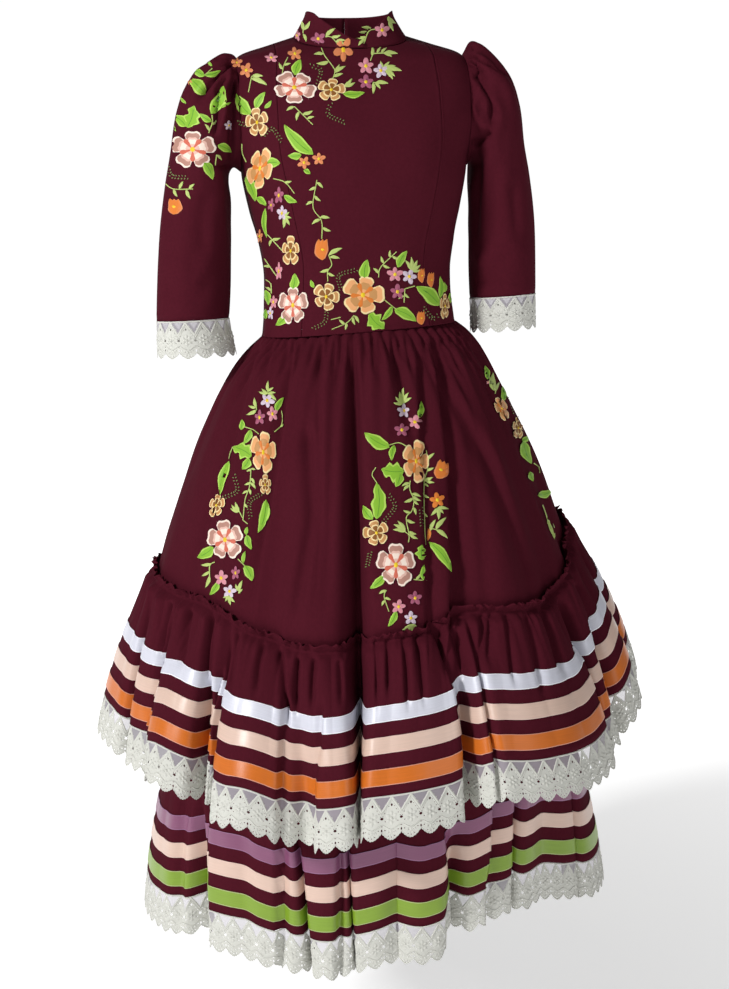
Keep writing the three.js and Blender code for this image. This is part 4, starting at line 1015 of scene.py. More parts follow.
class Relief:
    """Raised flat pieces: points are along and down, in millimetres or pixels, and up in mm."""

    def __init__(self):
        self.points, self.tris, self.mats, self.size = [], [], [], 0

    def grid(self, p, mats=0):
        rows, cols = p.shape[:2]
        quads = grid_faces(rows, cols, False, False) + self.size
        tris = np.concatenate([quads[:, [0, 1, 2]], quads[:, [0, 2, 3]]])
        self.points.append(p.reshape(-1, 3))
        self.tris.append(tris)
        m = np.broadcast_to(mats, (rows - 1, cols - 1)).ravel()
        self.mats.append(np.concatenate([m, m]))
        self.size += rows * cols

    def strip(self, line, wide, high, mat=0):
        """A rounded cord along a line of (along, down)."""
        line = np.asarray(line, float)
        way = unit(np.gradient(line, axis=0))
        across = np.column_stack([-way[:, 1], way[:, 0]])
        wide = np.broadcast_to(wide, len(line))
        rows = []
        for share, lift in ((-0.5, 0.0), (-0.28, 0.85), (0.28, 0.85), (0.5, 0.0)):
            p = line + across * (share * wide)[:, None]
            rows.append(np.column_stack([p, np.full(len(line), high * lift)]))
        self.grid(np.stack(rows), mat)

    def dome(self, u, v, a, b, high, turn=0.0, sides=8, mat=0):
        """A stitched oval lump."""
        w = np.linspace(0, 2 * np.pi, sides + 1) + 0.01
        rows = []
        for share, lift in ((1.0, 0.05), (0.62, 0.8), (0.02, 1.0)):
            x, y = a * share * np.cos(w), b * share * np.sin(w)
            rows.append(stack(u + x * math.cos(turn) - y * math.sin(turn),
                              v + x * math.sin(turn) + y * math.cos(turn), high * lift + 0 * x))
        self.grid(np.stack(rows), mat)

    def arrays(self):
        return np.concatenate(self.points), np.concatenate(self.tris), np.concatenate(self.mats)


def lace_relief():
    """The cords, the flower and the leaves that stand up on one repeat."""
    made = Relief()
    half = REPEAT / 2
    us = np.linspace(0, REPEAT, 9)
    made.strip(np.column_stack([us, 0.9 + 0 * us]), 2.0, 1.1)
    t = np.linspace(0, 1, 5)
    bar = chevron(half * t * 0.999)
    for side in (-1, 1):
        made.strip(np.column_stack([side * half * t, bar + 0.6]), 2.7, 0.8)
        made.strip(np.column_stack([side * half * t, bar + 3.9 + t]), 1.2, 0.5)
    made.dome(0, 25, 1.9, 1.9, 1.5)
    for i in range(6):
        w = math.radians(30 + 60 * i)
        made.dome(4.6 * math.cos(w), 25 + 5.2 * math.sin(w), 2.6, 2.0, 0.8, w)
    us = np.linspace(0, REPEAT, 13)
    wave = 36.2 + 2.6 * np.cos(2 * np.pi * us / REPEAT)
    made.strip(np.column_stack([us, wave - 1.0]), 1.3, 0.8)
    for u, v, turn in ((0, 41, 1.57), (-4, 40.2, 2.2), (4, 40.2, 0.95), (-1.9, 44.8, 1.9),
                       (1.9, 44.8, 1.25)):
        made.dome(u, v, 2.3, 1.1, 0.6, turn, 6)
    us = np.linspace(0, REPEAT, 25)
    made.strip(np.column_stack([us, lace_edge(us) - 0.6]), 1.2, 0.6)
    return made.arrays()


SHEET_REPEAT = lace_sheet()
RELIEF_REPEAT = lace_relief()
LACES = {}  # the net, the cords and the length of each lace


def lay_lace(name, surface, piece, counts, hem, level, depth, step, turn=1):
    """Repeats of the lace along a hem; counts run along it, and level is where it is measured."""
    measured = summed(gaps(surface(piece, counts, level)))
    length = measured[-1]
    count = int(round(length / REPEAT))
    wide = length / count
    made = []
    for part, (points, tris, mats) in (("net", SHEET_REPEAT), ("cords", RELIEF_REPEAT)):
        n = len(points)
        along = points[None, :, 0] * (wide / REPEAT) + wide * np.arange(count)[:, None]
        down = np.broadcast_to(points[None, :, 1] * (depth / PATTERN_DEPTH), along.shape)
        up = np.broadcast_to(points[None, :, 2], along.shape)
        at = np.interp(along.ravel() % length, measured, counts)
        p = moved_out(surface, piece, at, hem + LACE_GAP + down.ravel(), up.ravel(), step, turn)
        faces = (tris[None] + n * np.arange(count)[:, None, None]).reshape(-1, 3)
        obj = make(name + "_" + part, p, faces, [LACE, NET], np.tile(mats, count))
        made.append(obj)
    stands_for(made[0], name)
    LACES[name] = (*made, length)


for tier_name, tier in TIERS.items():
    counts = np.linspace(0, tier["count"], 40 * tier["count"] + 1)
    lay_lace("lace_" + tier_name, ruffle_at, tier, counts, RUFFLE_CLOTH,
             RUFFLE_CLOTH + LACE_LINE["ruffle"], LACE_DEPTH[tier_name], RUFFLE_STEP)
for hand, pose in SLEEVE_POSE.items():
    lay_lace("cuff_lace_" + hand, sleeve_at, pose, np.linspace(0, 1, 400), SLEEVE_ROWS,
             SLEEVE_ROWS + LACE_LINE["cuff"], LACE_DEPTH["cuff"], SLEEVE_STEP, -pose["side"])

# ---- embroidery -----------------------------------------------------------------------------
# Motifs are set out on the camera's picture plane, in pixels right and down, and cast on the cloth.
STITCH_LIFT = 0.5  # millimetres over the cloth's face
STITCH_LONGEST = 24  # a longer triangle, in millimetres, would bridge a fold
SPLIT = (9, 4.5, 4.5)  # longest sides in pixels, one round of cutting after another
BESIDE = 0.8  # pixels to the rays beside, which find a fold that stands in front
NEARER = 0.003  # metres by which it stands in front
GRAZING = -0.13  # no stitch on cloth that turns away more than this
EMBROIDERED = ("bodice", "collar", "sleeve", "skirt")
THREAD = {name: material("thread_" + name, code, 0.55, sheen=0.1, specular=0.3) for name, code in (
    ("white", "e2d0c2"), ("blush", "d2aa9c"), ("mauve", "a67a6c"), ("salmon", "c0604c"),
    ("yellow", "d8b81c"), ("cream", "dfc893"), ("peach", "d89b66"), ("tan", "b5844f"),
    ("orange", "cb7128"), ("brown", "80501f"), ("pink", "c4808c"), ("plum", "985068"),
    ("lilac", "c3b2c0"), ("rust", "c97a4e"), ("lime", "7cab2c"), ("rim", "a3c653"),
    ("rib", "4b8420"), ("sprig", "a9ba68"), ("moss", "6d7a45"))}
TONE = {name: i for i, name in enumerate(THREAD)}
# open flowers: tones from the middle to the rim, and of the wedges between the petals
OPEN = {
    "P": (("blush", "white", "blush", "mauve", "white"), "salmon", 0.09),
    "O": (("peach", "tan", "tan", "peach", "cream"), "orange", 0.05),
    "B": (("brown", "brown", "cream", "tan", "cream"), None, 0.03),
}
STAR = {"p": "pink", "m": "plum", "l": "lilac", "o": "rust", "g": "orange"}

# x, y, kind, half width, half height, turn of a petal (90 if left out) and lean in degrees
FLOWERS = [
    (294.6, 87.9, "P", 21.8, 16.6, 54), (331.3, 90.2, "B", 13.7, 12.2, 80),
    (295.2, 54.6, "o", 7.4, 7.2, 100), (271.6, 58.6, "p", 7.6, 4.8), (343.3, 50.3, "o", 10.5, 13.5, -90),
    (246.9, 70.8, "o", 7.6, 7.6, 70), (237.3, 63.2, "o", 6, 6), (257.7, 122.5, "B", 11.4, 15, 100),
    (260.9, 168.4, "O", 12.4, 22.5, 70, -12), (319, 158.9, "o", 6.9, 6.9),
    (304.3, 162.7, "o", 6.9, 6.9, 60), (279.4, 195.2, "m", 5.4, 9), (271.8, 204.8, "m", 4, 7, 70),
    (282.6, 213, "l", 5.4, 8.4), (260.5, 236.3, "o", 3.6, 7.6), (291.2, 250.7, "B", 9.6, 14.8),
    (279.6, 271, "p", 3.8, 9.8), (326.3, 296.6, "B", 13, 14.3, 70), (293.6, 305.3, "P", 14.8, 20.4),
    (274.4, 302.1, "p", 4, 7.6), (271.3, 313.3, "l", 3.4, 6.9), (362.8, 295.1, "O", 21, 21.2, 75),
    (394.7, 274.4, "p", 8.4, 8.4), (408.8, 276.5, "l", 8, 8, 70), (397.2, 291.8, "m", 8, 8),
    (444, 306.3, "B", 5, 13.6), (365.8, 66.8, "p", 8.8, 8.4), (380.8, 71.3, "l", 8, 7.8, 100),
    (365.8, 82.5, "m", 8.6, 7.4), (318.6, 39.4, "m", 7.8, 7.6, 110), (381.6, 30.7, "p", 7.8, 8.4),
    (297.9, 36.1, "p", 3.6, 7), (193.4, 149.5, "P", 21.8, 20.4), (187.6, 77.4, "o", 4.2, 10.5, 90, 25),
    (227.8, 125.3, "l", 4.6, 5), (403.3, 411.3, "l", 7.6, 7.4), (415, 422.4, "p", 7.6, 7.4, 80),
    (401.4, 430.4, "m", 7.6, 7.4), (415.5, 461.5, "O", 14.5, 21, 72), (437, 500.3, "g", 8, 8.4, 100),
    (376.4, 533.1, "B", 12.2, 13.6, 105), (395.8, 565.2, "P", 19.6, 22.6),
    (398.5, 606.7, "p", 7.6, 7.6, 80), (414.6, 598.2, "m", 7.4, 7.6), (410.5, 617.9, "l", 7.4, 7),
    (267.9, 401, "l", 7.4, 8, 60), (260.3, 417.8, "m", 6.2, 8), (272.7, 414.3, "p", 6, 8, 100),
    (263.6, 452.7, "O", 12.6, 21.8, 80), (217.4, 505.6, "B", 8, 12.4, 100, -14),
    (265.4, 485, "B", 6.4, 10), (226.1, 540, "P", 18, 21, 98), (222.1, 578.2, "p", 7.6, 8),
    (236.1, 573, "m", 4.8, 7.4), (230.2, 591.4, "l", 7, 7.4, 80), (501, 409, "O", 6, 13.5, 90, 25),
    (517.2, 428.2, "B", 6, 11.2), (541.2, 457, "o", 2.6, 10.5, 90, 20), (487.3, 382.7, "p", 1.6, 2)]
# half-open flowers: base, tip and half width
BUDS = [
    (322.5, 260, 323, 239, 7.4), (421.6, 283, 421.6, 268.5, 3.8), (430.7, 287.5, 431, 272.5, 3.8),
    (421.2, 325, 421.2, 311.5, 4.6), (174.2, 214.5, 175, 199, 7.8), (437, 478.5, 444, 461.5, 8),
    (427.5, 541, 429.3, 528.5, 2.2)]
# leaves: base, tip and half width, and for lobed ones how deep
LEAVES = [
    (295, 75.5, 300.8, 60.1, 4.5), (256, 109, 265.4, 92.5, 3.8), (250.7, 114.8, 236.7, 94.4, 6),
    (264.7, 108.5, 271.8, 100.8, 1.9), (313.2, 154.4, 284.5, 125, 6.1), (301.7, 155, 288.3, 155.7, 3.4),
    (304, 170, 310.5, 174, 2.3), (267.3, 163.3, 280.7, 163.3, 4.6), (246.3, 176.7, 255.8, 201, 4.6),
    (257.1, 197.1, 266.7, 205.4, 3), (284.5, 195.2, 297.3, 202.2, 3), (266, 208, 267.3, 237.3, 2.3),
    (292.8, 290.2, 295.2, 273.4, 4.2), (287.6, 314.9, 276.4, 325.3, 3.8), (266, 290, 269, 305, 3),
    (266.5, 319, 266.5, 309, 2.3), (314.3, 287.8, 311.1, 279.8, 1.9), (364.4, 280.6, 367.3, 259.5, 5),
    (397.6, 267.3, 406.7, 250.8, 3.8), (438.6, 305.5, 416.2, 286.4, 6.6), (439.5, 298, 439.5, 276.5, 2.7),
    (444, 292.2, 443.6, 282.3, 1.9), (450, 303, 450.5, 291, 1.9), (394.3, 309.6, 415.8, 321.2, 5.2),
    (392.2, 306.3, 381.4, 320.4, 2.7), (369, 314, 384, 329, 7, 0.3), (343, 94.1, 364.6, 92.9, 3.4),
    (204.8, 76.8, 190.2, 70.4, 3.4), (204.8, 94.6, 189.5, 79.3, 6), (205, 76, 220.8, 71, 2.3),
    (212.5, 66.6, 206, 61.5, 1.3), (211.2, 113.8, 224, 86.4, 6), (222, 108, 230.4, 102.3, 1.3),
    (187, 103.6, 180, 96, 1.3), (188.3, 127.8, 194.6, 106, 7, 0.3), (187, 126.5, 174.2, 115.7, 4.6),
    (211.2, 121.4, 200.4, 113.8, 3), (217.6, 145, 231, 152, 3.8), (202.9, 161, 212.5, 179.5, 4.6),
    (173, 121.4, 176.8, 131.6, 1.5), (418.9, 418.3, 421.1, 401.7, 3), (389.2, 447.6, 365, 433, 6),
    (394.2, 445.4, 391.5, 460.8, 3), (403.5, 471.5, 381.4, 469.5, 8, 0.3), (400, 473, 395.5, 487, 4.2),
    (376.7, 519, 376.7, 482.9, 6.6, 0.15), (372.7, 519.7, 364, 505.6, 4), (384.6, 575, 370.4, 588.4, 3.8),
    (396.3, 610.7, 388.2, 626.3, 3), (421.7, 560, 421.7, 545, 4.6, 0.3), (429.3, 542, 451.2, 571.9, 4.6),
    (423, 580.4, 423.5, 565.2, 2.3), (275.7, 411.7, 283.7, 397.7, 2.8), (241.5, 430, 242.7, 419.7, 2.6),
    (251.5, 430, 244.1, 443.9, 3.2), (252, 456.4, 233.4, 446.9, 6.6, 0.3), (250, 459, 242.7, 469.5, 4),
    (229.8, 461.5, 220.7, 494.6, 4.2), (266.1, 499.7, 258.1, 532.7, 4.6), (214.1, 547.4, 197.9, 557.6, 5),
    (247.1, 534.9, 251.5, 549.6, 3.2), (246.3, 534.9, 247.8, 526.8, 1.8),
    (244.9, 565.7, 252.2, 581.1, 4.5), (243.4, 563.5, 245.6, 551, 1.8), (219.2, 581.8, 210.4, 595, 3),
    (487.1, 379.5, 484.4, 365.9, 2.6), (503, 401.3, 501.9, 386.5, 2.8), (522.5, 441, 530.8, 463.8, 4.8),
    (521.5, 441, 529, 436.5, 2.5), (529.5, 472, 532.5, 481.5, 2.6), (537.2, 495.7, 551.4, 491, 3.6)]
# sprigs: the stem's points, and the tips of the narrow leaves on it
SPRIGS = [
    ((332.7, 79.6, 334.8, 71.3, 330.6, 63.9, 324.8, 56.4, 321.5, 48.8), (345.5, 66.8, 343, 74.2, 339.5,
     65, 316.5, 63.9, 314, 54.8)),
    ((370.4, 61.4, 372.9, 54.8, 377, 53.9, 388, 53.5), (372, 46.5, 380.8, 47.8, 386.6, 48.5, 397.4, 54.3,
     391.6, 57.2)),
    ((384, 69, 387, 70.5), (380.4, 61.4, 389.5, 62.2, 395.3, 66.4, 401.5, 71.3, 394.9, 77.1, 392.8, 80)),
    ((373, 82.5, 378.7, 84.6), (388.2, 83.8, 380.4, 89.2, 372.9, 94.1)),
    ((344, 86.5, 348, 84.8), (355, 83, 352, 79)), ((282.5, 74, 284, 66, 288, 58), (279, 63, 291, 64)),
    ((294.6, 106.8, 304, 116, 313, 125), (313.2, 111, 314.5, 117, 296.6, 121, 286.4, 111)),
    ((252, 76.6, 248.8, 92.5), (263.5, 76.6, 267.3, 85.5)), ((242.4, 143.5, 243, 153, 246.9, 162), ()),
    ((273.7, 178.6, 285, 182, 294.7, 193.3), (292, 181)),
    ((317, 180, 313.2, 206.7, 321.5, 220.7, 322, 238.6), (309, 190, 323, 188, 306, 205, 321, 201, 330,
     218, 312, 224, 331, 231)), ((268, 234.4, 282.4, 250.3), (270, 246, 281, 238)),
    ((328.7, 255, 331.9, 264.7, 327.9, 271, 327.9, 281.4), (339.8, 258.3, 342.2, 248, 320, 272, 335,
     276)), ((276.8, 275.8, 264.9, 258.3), (264, 266)),
    ((272, 293.4, 271.3, 283.8, 266.5, 279.8), (266, 287)), ((331, 319.7, 340.6, 317.3), ()),
    ((354, 315.4, 346.6, 322.9, 331.7, 329.5), (355, 325, 359, 323, 339, 319.5, 345, 330)),
    ((378.5, 277.3, 380.6, 267.3, 396.3, 251.6), (373, 268, 390, 268, 381, 256, 390, 250, 399, 259)),
    ((404.6, 288.9, 414.6, 286), ()), ((404.6, 288.9, 403.8, 302.6), (398, 299, 409, 298)),
    ((383, 298.8, 396.3, 309.6), ()),
    ((410.5, 270, 412, 265), (405, 260, 411, 257, 417, 260, 420, 265, 420.5, 270.5)),
    ((284, 217, 286, 221), (290, 212, 292, 218, 290, 225, 284, 228)), ((204.8, 76, 212.5, 69), ()),
    ((208.7, 132.9, 211.9, 122.7, 211.9, 115), (205, 124, 217, 120)),
    ((216.3, 154.6, 215, 164.8), (221, 160)),
    ((164.7, 182.7, 174.2, 189, 193.4, 189), (183.8, 181.4, 195, 184, 190.8, 199, 178, 197)),
    ((303.7, 34, 303.7, 30.7, 306, 28), (306.6, 42.3, 310.7, 21.6, 301.2, 20.3)),
    ((325.6, 37.3, 331.4, 37.3, 338.9, 45.5), (335.6, 28.6, 341, 35.7, 345.5, 40.7, 346, 45.8)),
    ((375.4, 29.5, 368.7, 31.5, 363.8, 44), (361.7, 27, 358.8, 31.9, 356.3, 38.2, 358, 46)),
    ((384.5, 12.9, 389, 18, 392.8, 21.2), (392.8, 31.5, 389, 23, 395, 24)),
    ((388.8, 445.4, 398.8, 443, 406.9, 447), ()),
    ((409.9, 480.9, 409.6, 489.6, 413.6, 500.3, 411.6, 511, 406, 518, 408.9, 535.1, 408.2, 542.5), (401.5,
     486.2, 402.9, 490.9, 403.5, 502.3, 420.3, 496.9, 420.3, 501, 418.3, 505, 415.6, 515, 402.9, 510.3,
     414.9, 523, 416.3, 534.4, 417.6, 539.1)),
    ((408.9, 535.1, 401.5, 529), (397.5, 521, 392.8, 529.7, 393.5, 524.4)),
    ((424.3, 479.5, 427.6, 469.5, 427.6, 460, 426.3, 450.7), (434.3, 453.4, 434, 468.1, 433, 477.5)),
    ((424.3, 479.5, 423.9, 495, 424.3, 520, 425.5, 545), (434.3, 482.9, 428.5, 487, 428, 517, 429.5,
     498)), ((437, 508, 437.5, 511), (447.7, 509, 431, 515.7, 438.4, 519.7, 443, 513.7)),
    ((429, 534, 432, 529, 440, 531), (435.7, 519.7, 445.7, 517.7, 447, 538.5)),
    ((386.4, 590.2, 384.2, 596.4, 389, 611.6), (379, 594, 391, 600, 382, 606)),
    ((413.2, 579.5, 426.6, 580.8), (420, 574)),
    ((402.5, 404, 402.5, 399), (395, 397, 399, 392, 404, 388, 409, 393, 412, 398, 393, 403)),
    ((410.5, 624, 410.5, 628), (402, 630, 407, 634, 413, 634, 418, 629)),
    ((376.7, 482.9, 372, 474.8, 375.7, 467.8), ()),
    ((268.5, 394, 268.5, 388), (259, 392, 262, 389, 268.5, 381, 274, 388, 276, 393, 276.5, 401)),
    ((257, 410, 256, 404), (255, 398, 249, 406, 247, 415)),
    ((274.2, 432.2, 281.5, 425.6, 282.6, 417.5, 281.5, 411), (284, 424)),
    ((259.5, 434.4, 253.7, 430, 244.9, 427), ()), ((229.5, 461.5, 230.2, 454.2, 233.4, 446.9), ()),
    ((251.5, 468.9, 250, 486.5, 245.6, 499.7, 243.4, 520.2), (247, 471.5, 256, 470, 255, 484, 245, 485,
     256, 489, 243, 494, 251, 495, 248, 508)), ((243, 518, 238, 508), (231, 508.5, 236, 502, 232, 505)),
    ((243.4, 520.2, 248, 524), ()),
    ((215.5, 562, 210.4, 565.7, 210.4, 580.4), (201.6, 565, 202.3, 576, 206, 587.7)),
    ((230, 596, 230, 599), (223.6, 598, 225.8, 601.6, 231, 605.3, 235.3, 602.4)),
    ((238.3, 559.1, 244.9, 565.7), ()), ((239, 593.6, 240, 587), (242.7, 580.4, 243, 589, 236, 584)),
    ((494.8, 394.2, 495.4, 386.5), (488.9, 376.5, 492.4, 373, 498.9, 382.4)),
    ((533.1, 463.2, 538.4, 467.4, 539, 473.3), ()),
    ((542, 505.1, 546.1, 516.9, 547.3, 524), (553.8, 539.3, 551, 530))]
# lines of little knots
KNOTS = [
    (318.2, 82.9, 320.7, 70.5, 311.5, 66.4), (330.4, 104.6, 328.5, 114.8, 343.8, 122.5),
    (263.5, 135.9, 272.4, 128.9, 281.3, 140.4), (246.9, 125, 238.6, 122.5),
    (340.6, 288.6, 339.1, 275.6, 355.7, 269.8), (327.1, 310.9, 324.7, 322, 314.3, 328.5),
    (423.7, 308.8, 432.8, 318.7, 438.6, 313.8), (187, 177.5, 173, 176.3, 169, 168.6),
    (384.1, 521.7, 394.8, 507, 389.5, 495.9), (370.4, 553, 368, 566),
    (225.1, 497.5, 237.5, 490.9, 234.6, 476.2), (260.3, 494.6, 250, 502.6, 250.7, 517.3),
    (420.6, 509, 421.6, 524.4), (509, 396, 514, 412)]


def flower(made, x, y, kind, wide, tall, turn=90, lean=0):
    """Five petals and a yellow middle; an open flower has rings of tones and wedges."""
    open_one = kind in OPEN
    f = np.linspace(-1, 1, 10 if open_one else 6)
    cell = np.abs(f[1:] + f[:-1]) / 2
    tilt = math.radians(lean)

    def place(rho, w, lift):
        a, b = wide * rho * np.cos(w), tall * rho * np.sin(w)
        return stack(x + a * math.cos(tilt) - b * math.sin(tilt),
                     y - b * math.cos(tilt) - a * math.sin(tilt), lift)

    if open_one:
        tones, wedge, notch = OPEN[kind]
        edge = 0.5 + 0.5 * np.sqrt(1 - np.abs(f) ** 2.8) - notch * bell(f / 0.2)
        rings = np.array([0.08, 0.3, 0.55, 0.66, 0.9, 1.0])
        zones = np.repeat([[TONE[t]] for t in tones], len(cell), axis=1)
        zones[:, cell > 0.82] = TONE[tones[-1]]
    else:
        edge = 0.5 + 0.5 * (1 - np.abs(f) ** 1.3)
        rings = np.array([0.1, 0.6, 1.0])
        zones, wedge = np.full((2, len(cell)), TONE[STAR[kind]]), None
    lift = 0.35 + 0.55 * (1 - rings[:, None] ** 4) * (1 - f[None] ** 4)
    for i in range(5):
        w = math.radians(turn + 72 * i)
        size = 1 + 0.07 * math.sin(i * 2.3 + x)
        made.grid(place(rings[:, None] * edge * size, w + f * math.radians(35), lift), zones)
        if wedge:
            g = np.linspace(-1, 1, 5)
            rho = np.array([0.08, 0.3, 0.48, 0.6])[:, None] * (1 - 0.2 * g**2)
            made.grid(place(rho, w + np.radians(36 + 14 * g), 1.05 - 0.3 * g**2), TONE[wedge])
    core = 0.15 if open_one else 0.26
    made.dome(x, y, wide * core, tall * core * 1.15, 1.5, -tilt, 8, TONE["yellow"])


def leaf(made, x0, y0, x1, y1, half, lobes=0.0, tones=("lime", "rim", "rib")):
    """A leaf from its base to its tip, with a rim and, when it is wide enough, a rib."""
    t = np.linspace(0, 1, 13 if lobes else 9 if half > 2 else 6)[:, None]
    axis = np.array([x1 - x0, y1 - y0])
    length = math.hypot(*axis)
    across = np.array([-axis[1], axis[0]]) / length
    f = np.array([-1, -0.72, 0, 0.72, 1])
    wide = half * (0.06 + np.sin(np.pi * t**0.8) ** 0.8)
    wide = wide * (1 + 0.09 * np.sin(11 * t + 2 * np.sign(f)) + lobes * np.cos(17 * t + np.sign(f)))
    bend = 0.07 * length * np.sin(np.pi * t) * math.copysign(1, math.sin(7 * x0 + y0))
    off = bend + f * wide
    p = stack(x0 + axis[0] * t + across[0] * off, y0 + axis[1] * t + across[1] * off,
              0.1 + 0.45 * (1 - f**2))
    made.grid(p, [TONE[tones[i]] for i in (1, 0, 0, 1)])
    if half > 2 and tones[2]:
        line = p[1:-2, 2, :2]
        made.strip(line, 0.75, 0.85, TONE[tones[2]])


def curve(flat, step=2.0):
    """A smooth line through flat's points, with a point about every step."""
    p = np.array(flat, float).reshape(-1, 2)
    ends = np.vstack([2 * p[0] - p[1], p, 2 * p[-1] - p[-2]])
    made = [p[:1]]
    for i in range(len(p) - 1):
        n = max(2, int(math.dist(p[i], p[i + 1]) / step))
        t = np.linspace(0, 1, n + 1)[1:, None]
        made.append(catmull(ends[i], ends[i + 1], ends[i + 2], ends[i + 3], t))
    return np.vstack(made)


def split_long(flat, tris, tones, limit):
    """The same triangles with every edge over the limit, in pixels of the picture, cut in half."""
    flat, made, shades, middles = [tuple(p) for p in flat], [], [], {}
    for corners, tone in zip(tris.tolist(), tones):
        ring = []
        for a, b in zip(corners, corners[1:] + corners[:1]):
            ring.append(a)
            if math.dist(flat[a][:2], flat[b][:2]) > limit:
                key = (min(a, b), max(a, b))
                if key not in middles:
                    middles[key] = len(flat)
                    flat.append(tuple((p + q) / 2 for p, q in zip(flat[a], flat[b])))
                first = len(ring)
                ring.append(middles[key])
        if len(ring) > 3:
            ring = ring[first:] + ring[:first]
        made += [(ring[0], ring[i], ring[i + 1]) for i in range(1, len(ring) - 1)]
        shades += [tone] * (len(ring) - 2)
    return np.array(flat), np.array(made), np.array(shades)


threads = Relief()
for stem, tips in SPRIGS:
    line = curve(stem)
    threads.strip(line, 0.95, 0.5, TONE["sprig"])
    for tip in np.array(tips, float).reshape(-1, 2):
        near = int(np.argmin(np.linalg.norm(line - tip, axis=1)))
        base = line[max(0, near - 2)]
        size = math.dist(base, tip)
        leaf(threads, *base, *tip, 0.5 + 0.1 * size, 0, ("sprig", "sprig", None))
for flat in KNOTS:
    line = curve(flat, 2.6)
    for at, go in zip(line, np.gradient(line, axis=0)):
        beside = np.array([-go[1], go[0]]) / np.hypot(*go)
        for side in (-1, 1):
            u, v = at + side * 1.4 * beside + 0.4 * go * side
            threads.dome(u, v, 1.0, 0.55, 0.6, math.atan2(go[1], go[0]) + side, 6, TONE["moss"])
for row in LEAVES:
    leaf(threads, *row)
for x0, y0, x1, y1, half in BUDS:
    across = np.array([y1 - y0, x0 - x1]) / math.hypot(x1 - x0, y1 - y0) * half * 0.55
    for side in (-1, 1, 0):
        leaf(threads, x0, y0, x1 + side * across[0], y1 + side * across[1], half * 0.62, 0,
             ("orange", "rust", None))
    threads.dome((x0 + x1) / 2, (y0 + y1) / 2, half * 0.3, half * 0.22, 1.2, 0.4, 8, TONE["yellow"])
for row in FLOWERS:
    flower(threads, *row)

corners, polygons, owners = [], [], []
for name, obj in CLOTHS.items():
    kind = name.split("_")[0]
    if kind not in EMBROIDERED:
        continue
    start = len(corners)
    corners += [v.co.copy() for v in obj.data.vertices]
    polygons += [[start + i for i in f.vertices] for f in obj.data.polygons]
    owners += [EMBROIDERED.index(kind)] * len(obj.data.polygons)
cloth = BVHTree.FromPolygons(corners, polygons)
flat, tris, tones = threads.arrays()
for limit in SPLIT:
    flat, tris, tones = split_long(flat, tris, tones, limit)


def cast(x, y):
    """What the camera's ray through a place in the picture meets, and the ray."""
    ray = (AHEAD * FOCUS + RIGHT * (x - MIDDLE[0]) - UP * (y - MIDDLE[1])).normalized()
    return cloth.ray_cast(EYE, ray), ray


laid = np.zeros((len(flat), 3))
owner = np.full(len(flat), -1)
away = np.zeros((len(flat), 3))
for i, (x, y, lift) in enumerate(flat):
    (place, normal, face, reach), ray = cast(x, y)
    if place is None:
        continue
    for u, v in ((BESIDE, 0), (-BESIDE, 0), (0, BESIDE), (0, -BESIDE)):
        beside = cast(x + u, y + v)[0]
        if beside[0] is not None and beside[3] < reach - NEARER:
            _, normal, face, reach = beside
            place = EYE + ray * reach
    if normal.dot(ray) > 0:
        normal = -normal
    if normal.dot(ray) > GRAZING:
        continue
    laid[i] = place * METRE + normal * (SHELL / 2 + STITCH_LIFT + lift)
    owner[i] = owners[face]
    away[i] = normal
sides = np.stack([laid[tris[:, (k + 1) % 3]] - laid[tris[:, k]] for k in range(3)])
longest = np.linalg.norm(sides, axis=2).max(axis=0)
out = np.cross(sides[0], sides[1])
inside_out = np.sum(out * away[tris[:, 0]], axis=1) < 0
tris[inside_out] = tris[inside_out][:, ::-1]
EMBROIDERY = {}
for i, name in enumerate(EMBROIDERED):
    keep = (owner[tris] == i).all(axis=1) & (longest < STITCH_LONGEST)
    used, faces = np.unique(tris[keep], return_inverse=True)
    EMBROIDERY[name] = make("embroidery_" + name, laid[used], faces.reshape(-1, 3),
                            list(THREAD.values()), tones[keep])

# ---- sheets of cloth ------------------------------------------------------------------------
# name, how it is held, what it rests on and the embroidery on it
SHEETS = [(row[0], "draped", [], []) for row in PANELS]
SHEETS[0][3].append(EMBROIDERY["bodice"])
SHEETS += [
    ("collar_left", "draped", ["bodice_back_left", "bodice_front_centre"], [EMBROIDERY["collar"]]),
    ("collar_right", "draped", ["bodice_back_right", "bodice_front_centre"], []),
    ("sleeve_left", "hung", ["bodice_side_front_left", "bodice_back_left"], []),
    ("sleeve_right", "hung", ["bodice_side_front_right", "bodice_back_right"],
     [EMBROIDERY["sleeve"]]),
    ("skirt_front", "gathered", ["bodice_front_centre"], [EMBROIDERY["skirt"]]),
    ("skirt_back", "gathered", ["bodice_back_left", "bodice_back_right"], []),
    ("ruffle_upper", "gathered", ["skirt_front", "skirt_back"], []),
    ("ruffle_lower", "gathered", ["skirt_front", "skirt_back"], [])]
for tier_name, colours in RIBBON_COLOURS.items():
    SHEETS += [("ribbon_" + tier_name + "_" + colour, "laid", ["ruffle_" + tier_name], [])
               for colour in colours]
for name, held, on, stitched in SHEETS:
    piece = name + ("_satin" if held == "laid" else "_cloth")
    width, length, area = CUTS[piece]
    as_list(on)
    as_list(stitched)
points, tris, _ = SHEET_REPEAT
a, b, c = (points[tris[:, i]] for i in range(3))
repeat_area = np.linalg.norm(np.cross(b - a, c - a), axis=1).sum() / 2
for name, (net, cords, length) in LACES.items():
    which = name.rsplit("_", 1)[1]
    depth = LACE_DEPTH.get(which, LACE_DEPTH["cuff"])
    area = repeat_area / REPEAT * length * depth / PATTERN_DEPTH
    on = "ruffle_" + which if which in TIERS else "sleeve_" + which

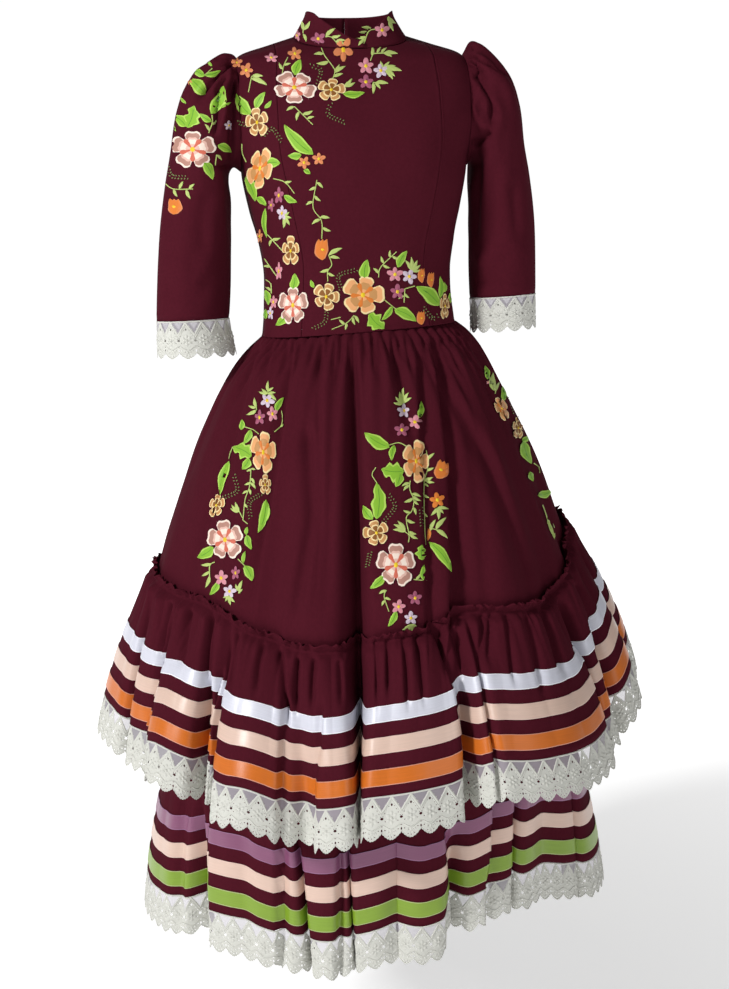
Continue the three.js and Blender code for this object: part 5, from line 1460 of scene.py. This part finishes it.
# ---- stage, light and camera ----------------------------------------------------------------
FLOOR = -1.42  # metres
FLOOR_CORNERS = ((-9, -6), (9, -6), (9, 14), (-9, 14))
floor_mat = material("floor", "f2f2f2", 0.9, specular=0)
tree = floor_mat.node_tree
where = wire(tree, "TexCoord")
away = wire(tree, "VectorMath", Vector=where.outputs["Object"])
away.operation = "LENGTH"
glow = wire(tree, "MapRange", Value=away.outputs["Value"], From_Min=1.5, From_Max=3.2, To_Min=0.5,
            To_Max=1.0)
wire(tree, tree.nodes["Principled BSDF"], Emission_Color=(1, 1, 1, 1),
     Emission_Strength=glow.outputs["Result"])
mesh = bpy.data.meshes.new("floor")
mesh.from_pydata([(x, y, FLOOR) for x, y in FLOOR_CORNERS], [], [(0, 1, 2, 3)])
mesh.materials.append(floor_mat)
floor = put("floor", mesh)
floor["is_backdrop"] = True

# a studio that is white behind the dress and dim elsewhere, with a large lamp from the upper left
scene = bpy.context.scene
scene.world = bpy.data.worlds.new("studio")
scene.world.use_nodes = True
tree = scene.world.node_tree
split = wire(tree, "SeparateXYZ", Vector=wire(tree, "TexCoord").outputs["Generated"])
bright = wire(tree, "MapRange", Value=split.outputs["Y"], From_Min=0.7, From_Max=0.88,
              To_Min=0.14, To_Max=1.02)
wire(tree, tree.nodes["Background"], Color=(1, 1, 1, 1), Strength=bright.outputs["Result"])
scene.view_settings.view_transform = "Standard"
AIM = Vector((0, 0, -0.55))
for name, spot, size, power in (
    ("key", (-5.4, -3.5, 3.2), 1.1, 470),
    ("fill", (2.4, -3.6, 0.8), 2.4, 34),
):
    light = bpy.data.lights.new(name, "AREA")
    light.size = size
    light.energy = power
    lamp = put(name, light)
    lamp.location = spot
    lamp.rotation_euler = (AIM - Vector(spot)).to_track_quat("-Z", "Y").to_euler()

camera_data = bpy.data.cameras.new("camera")
camera_data.sensor_fit = "VERTICAL"
camera_data.sensor_height = 36
camera_data.lens = 49.195  # FOCUS, in millimetres on that sensor
camera_data.clip_end = 60
camera = put("camera", camera_data)
turn = Matrix((RIGHT, UP, -AHEAD)).transposed().to_4x4()
camera.matrix_world = Matrix.Translation(EYE) @ turn
scene.camera = camera

low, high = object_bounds()
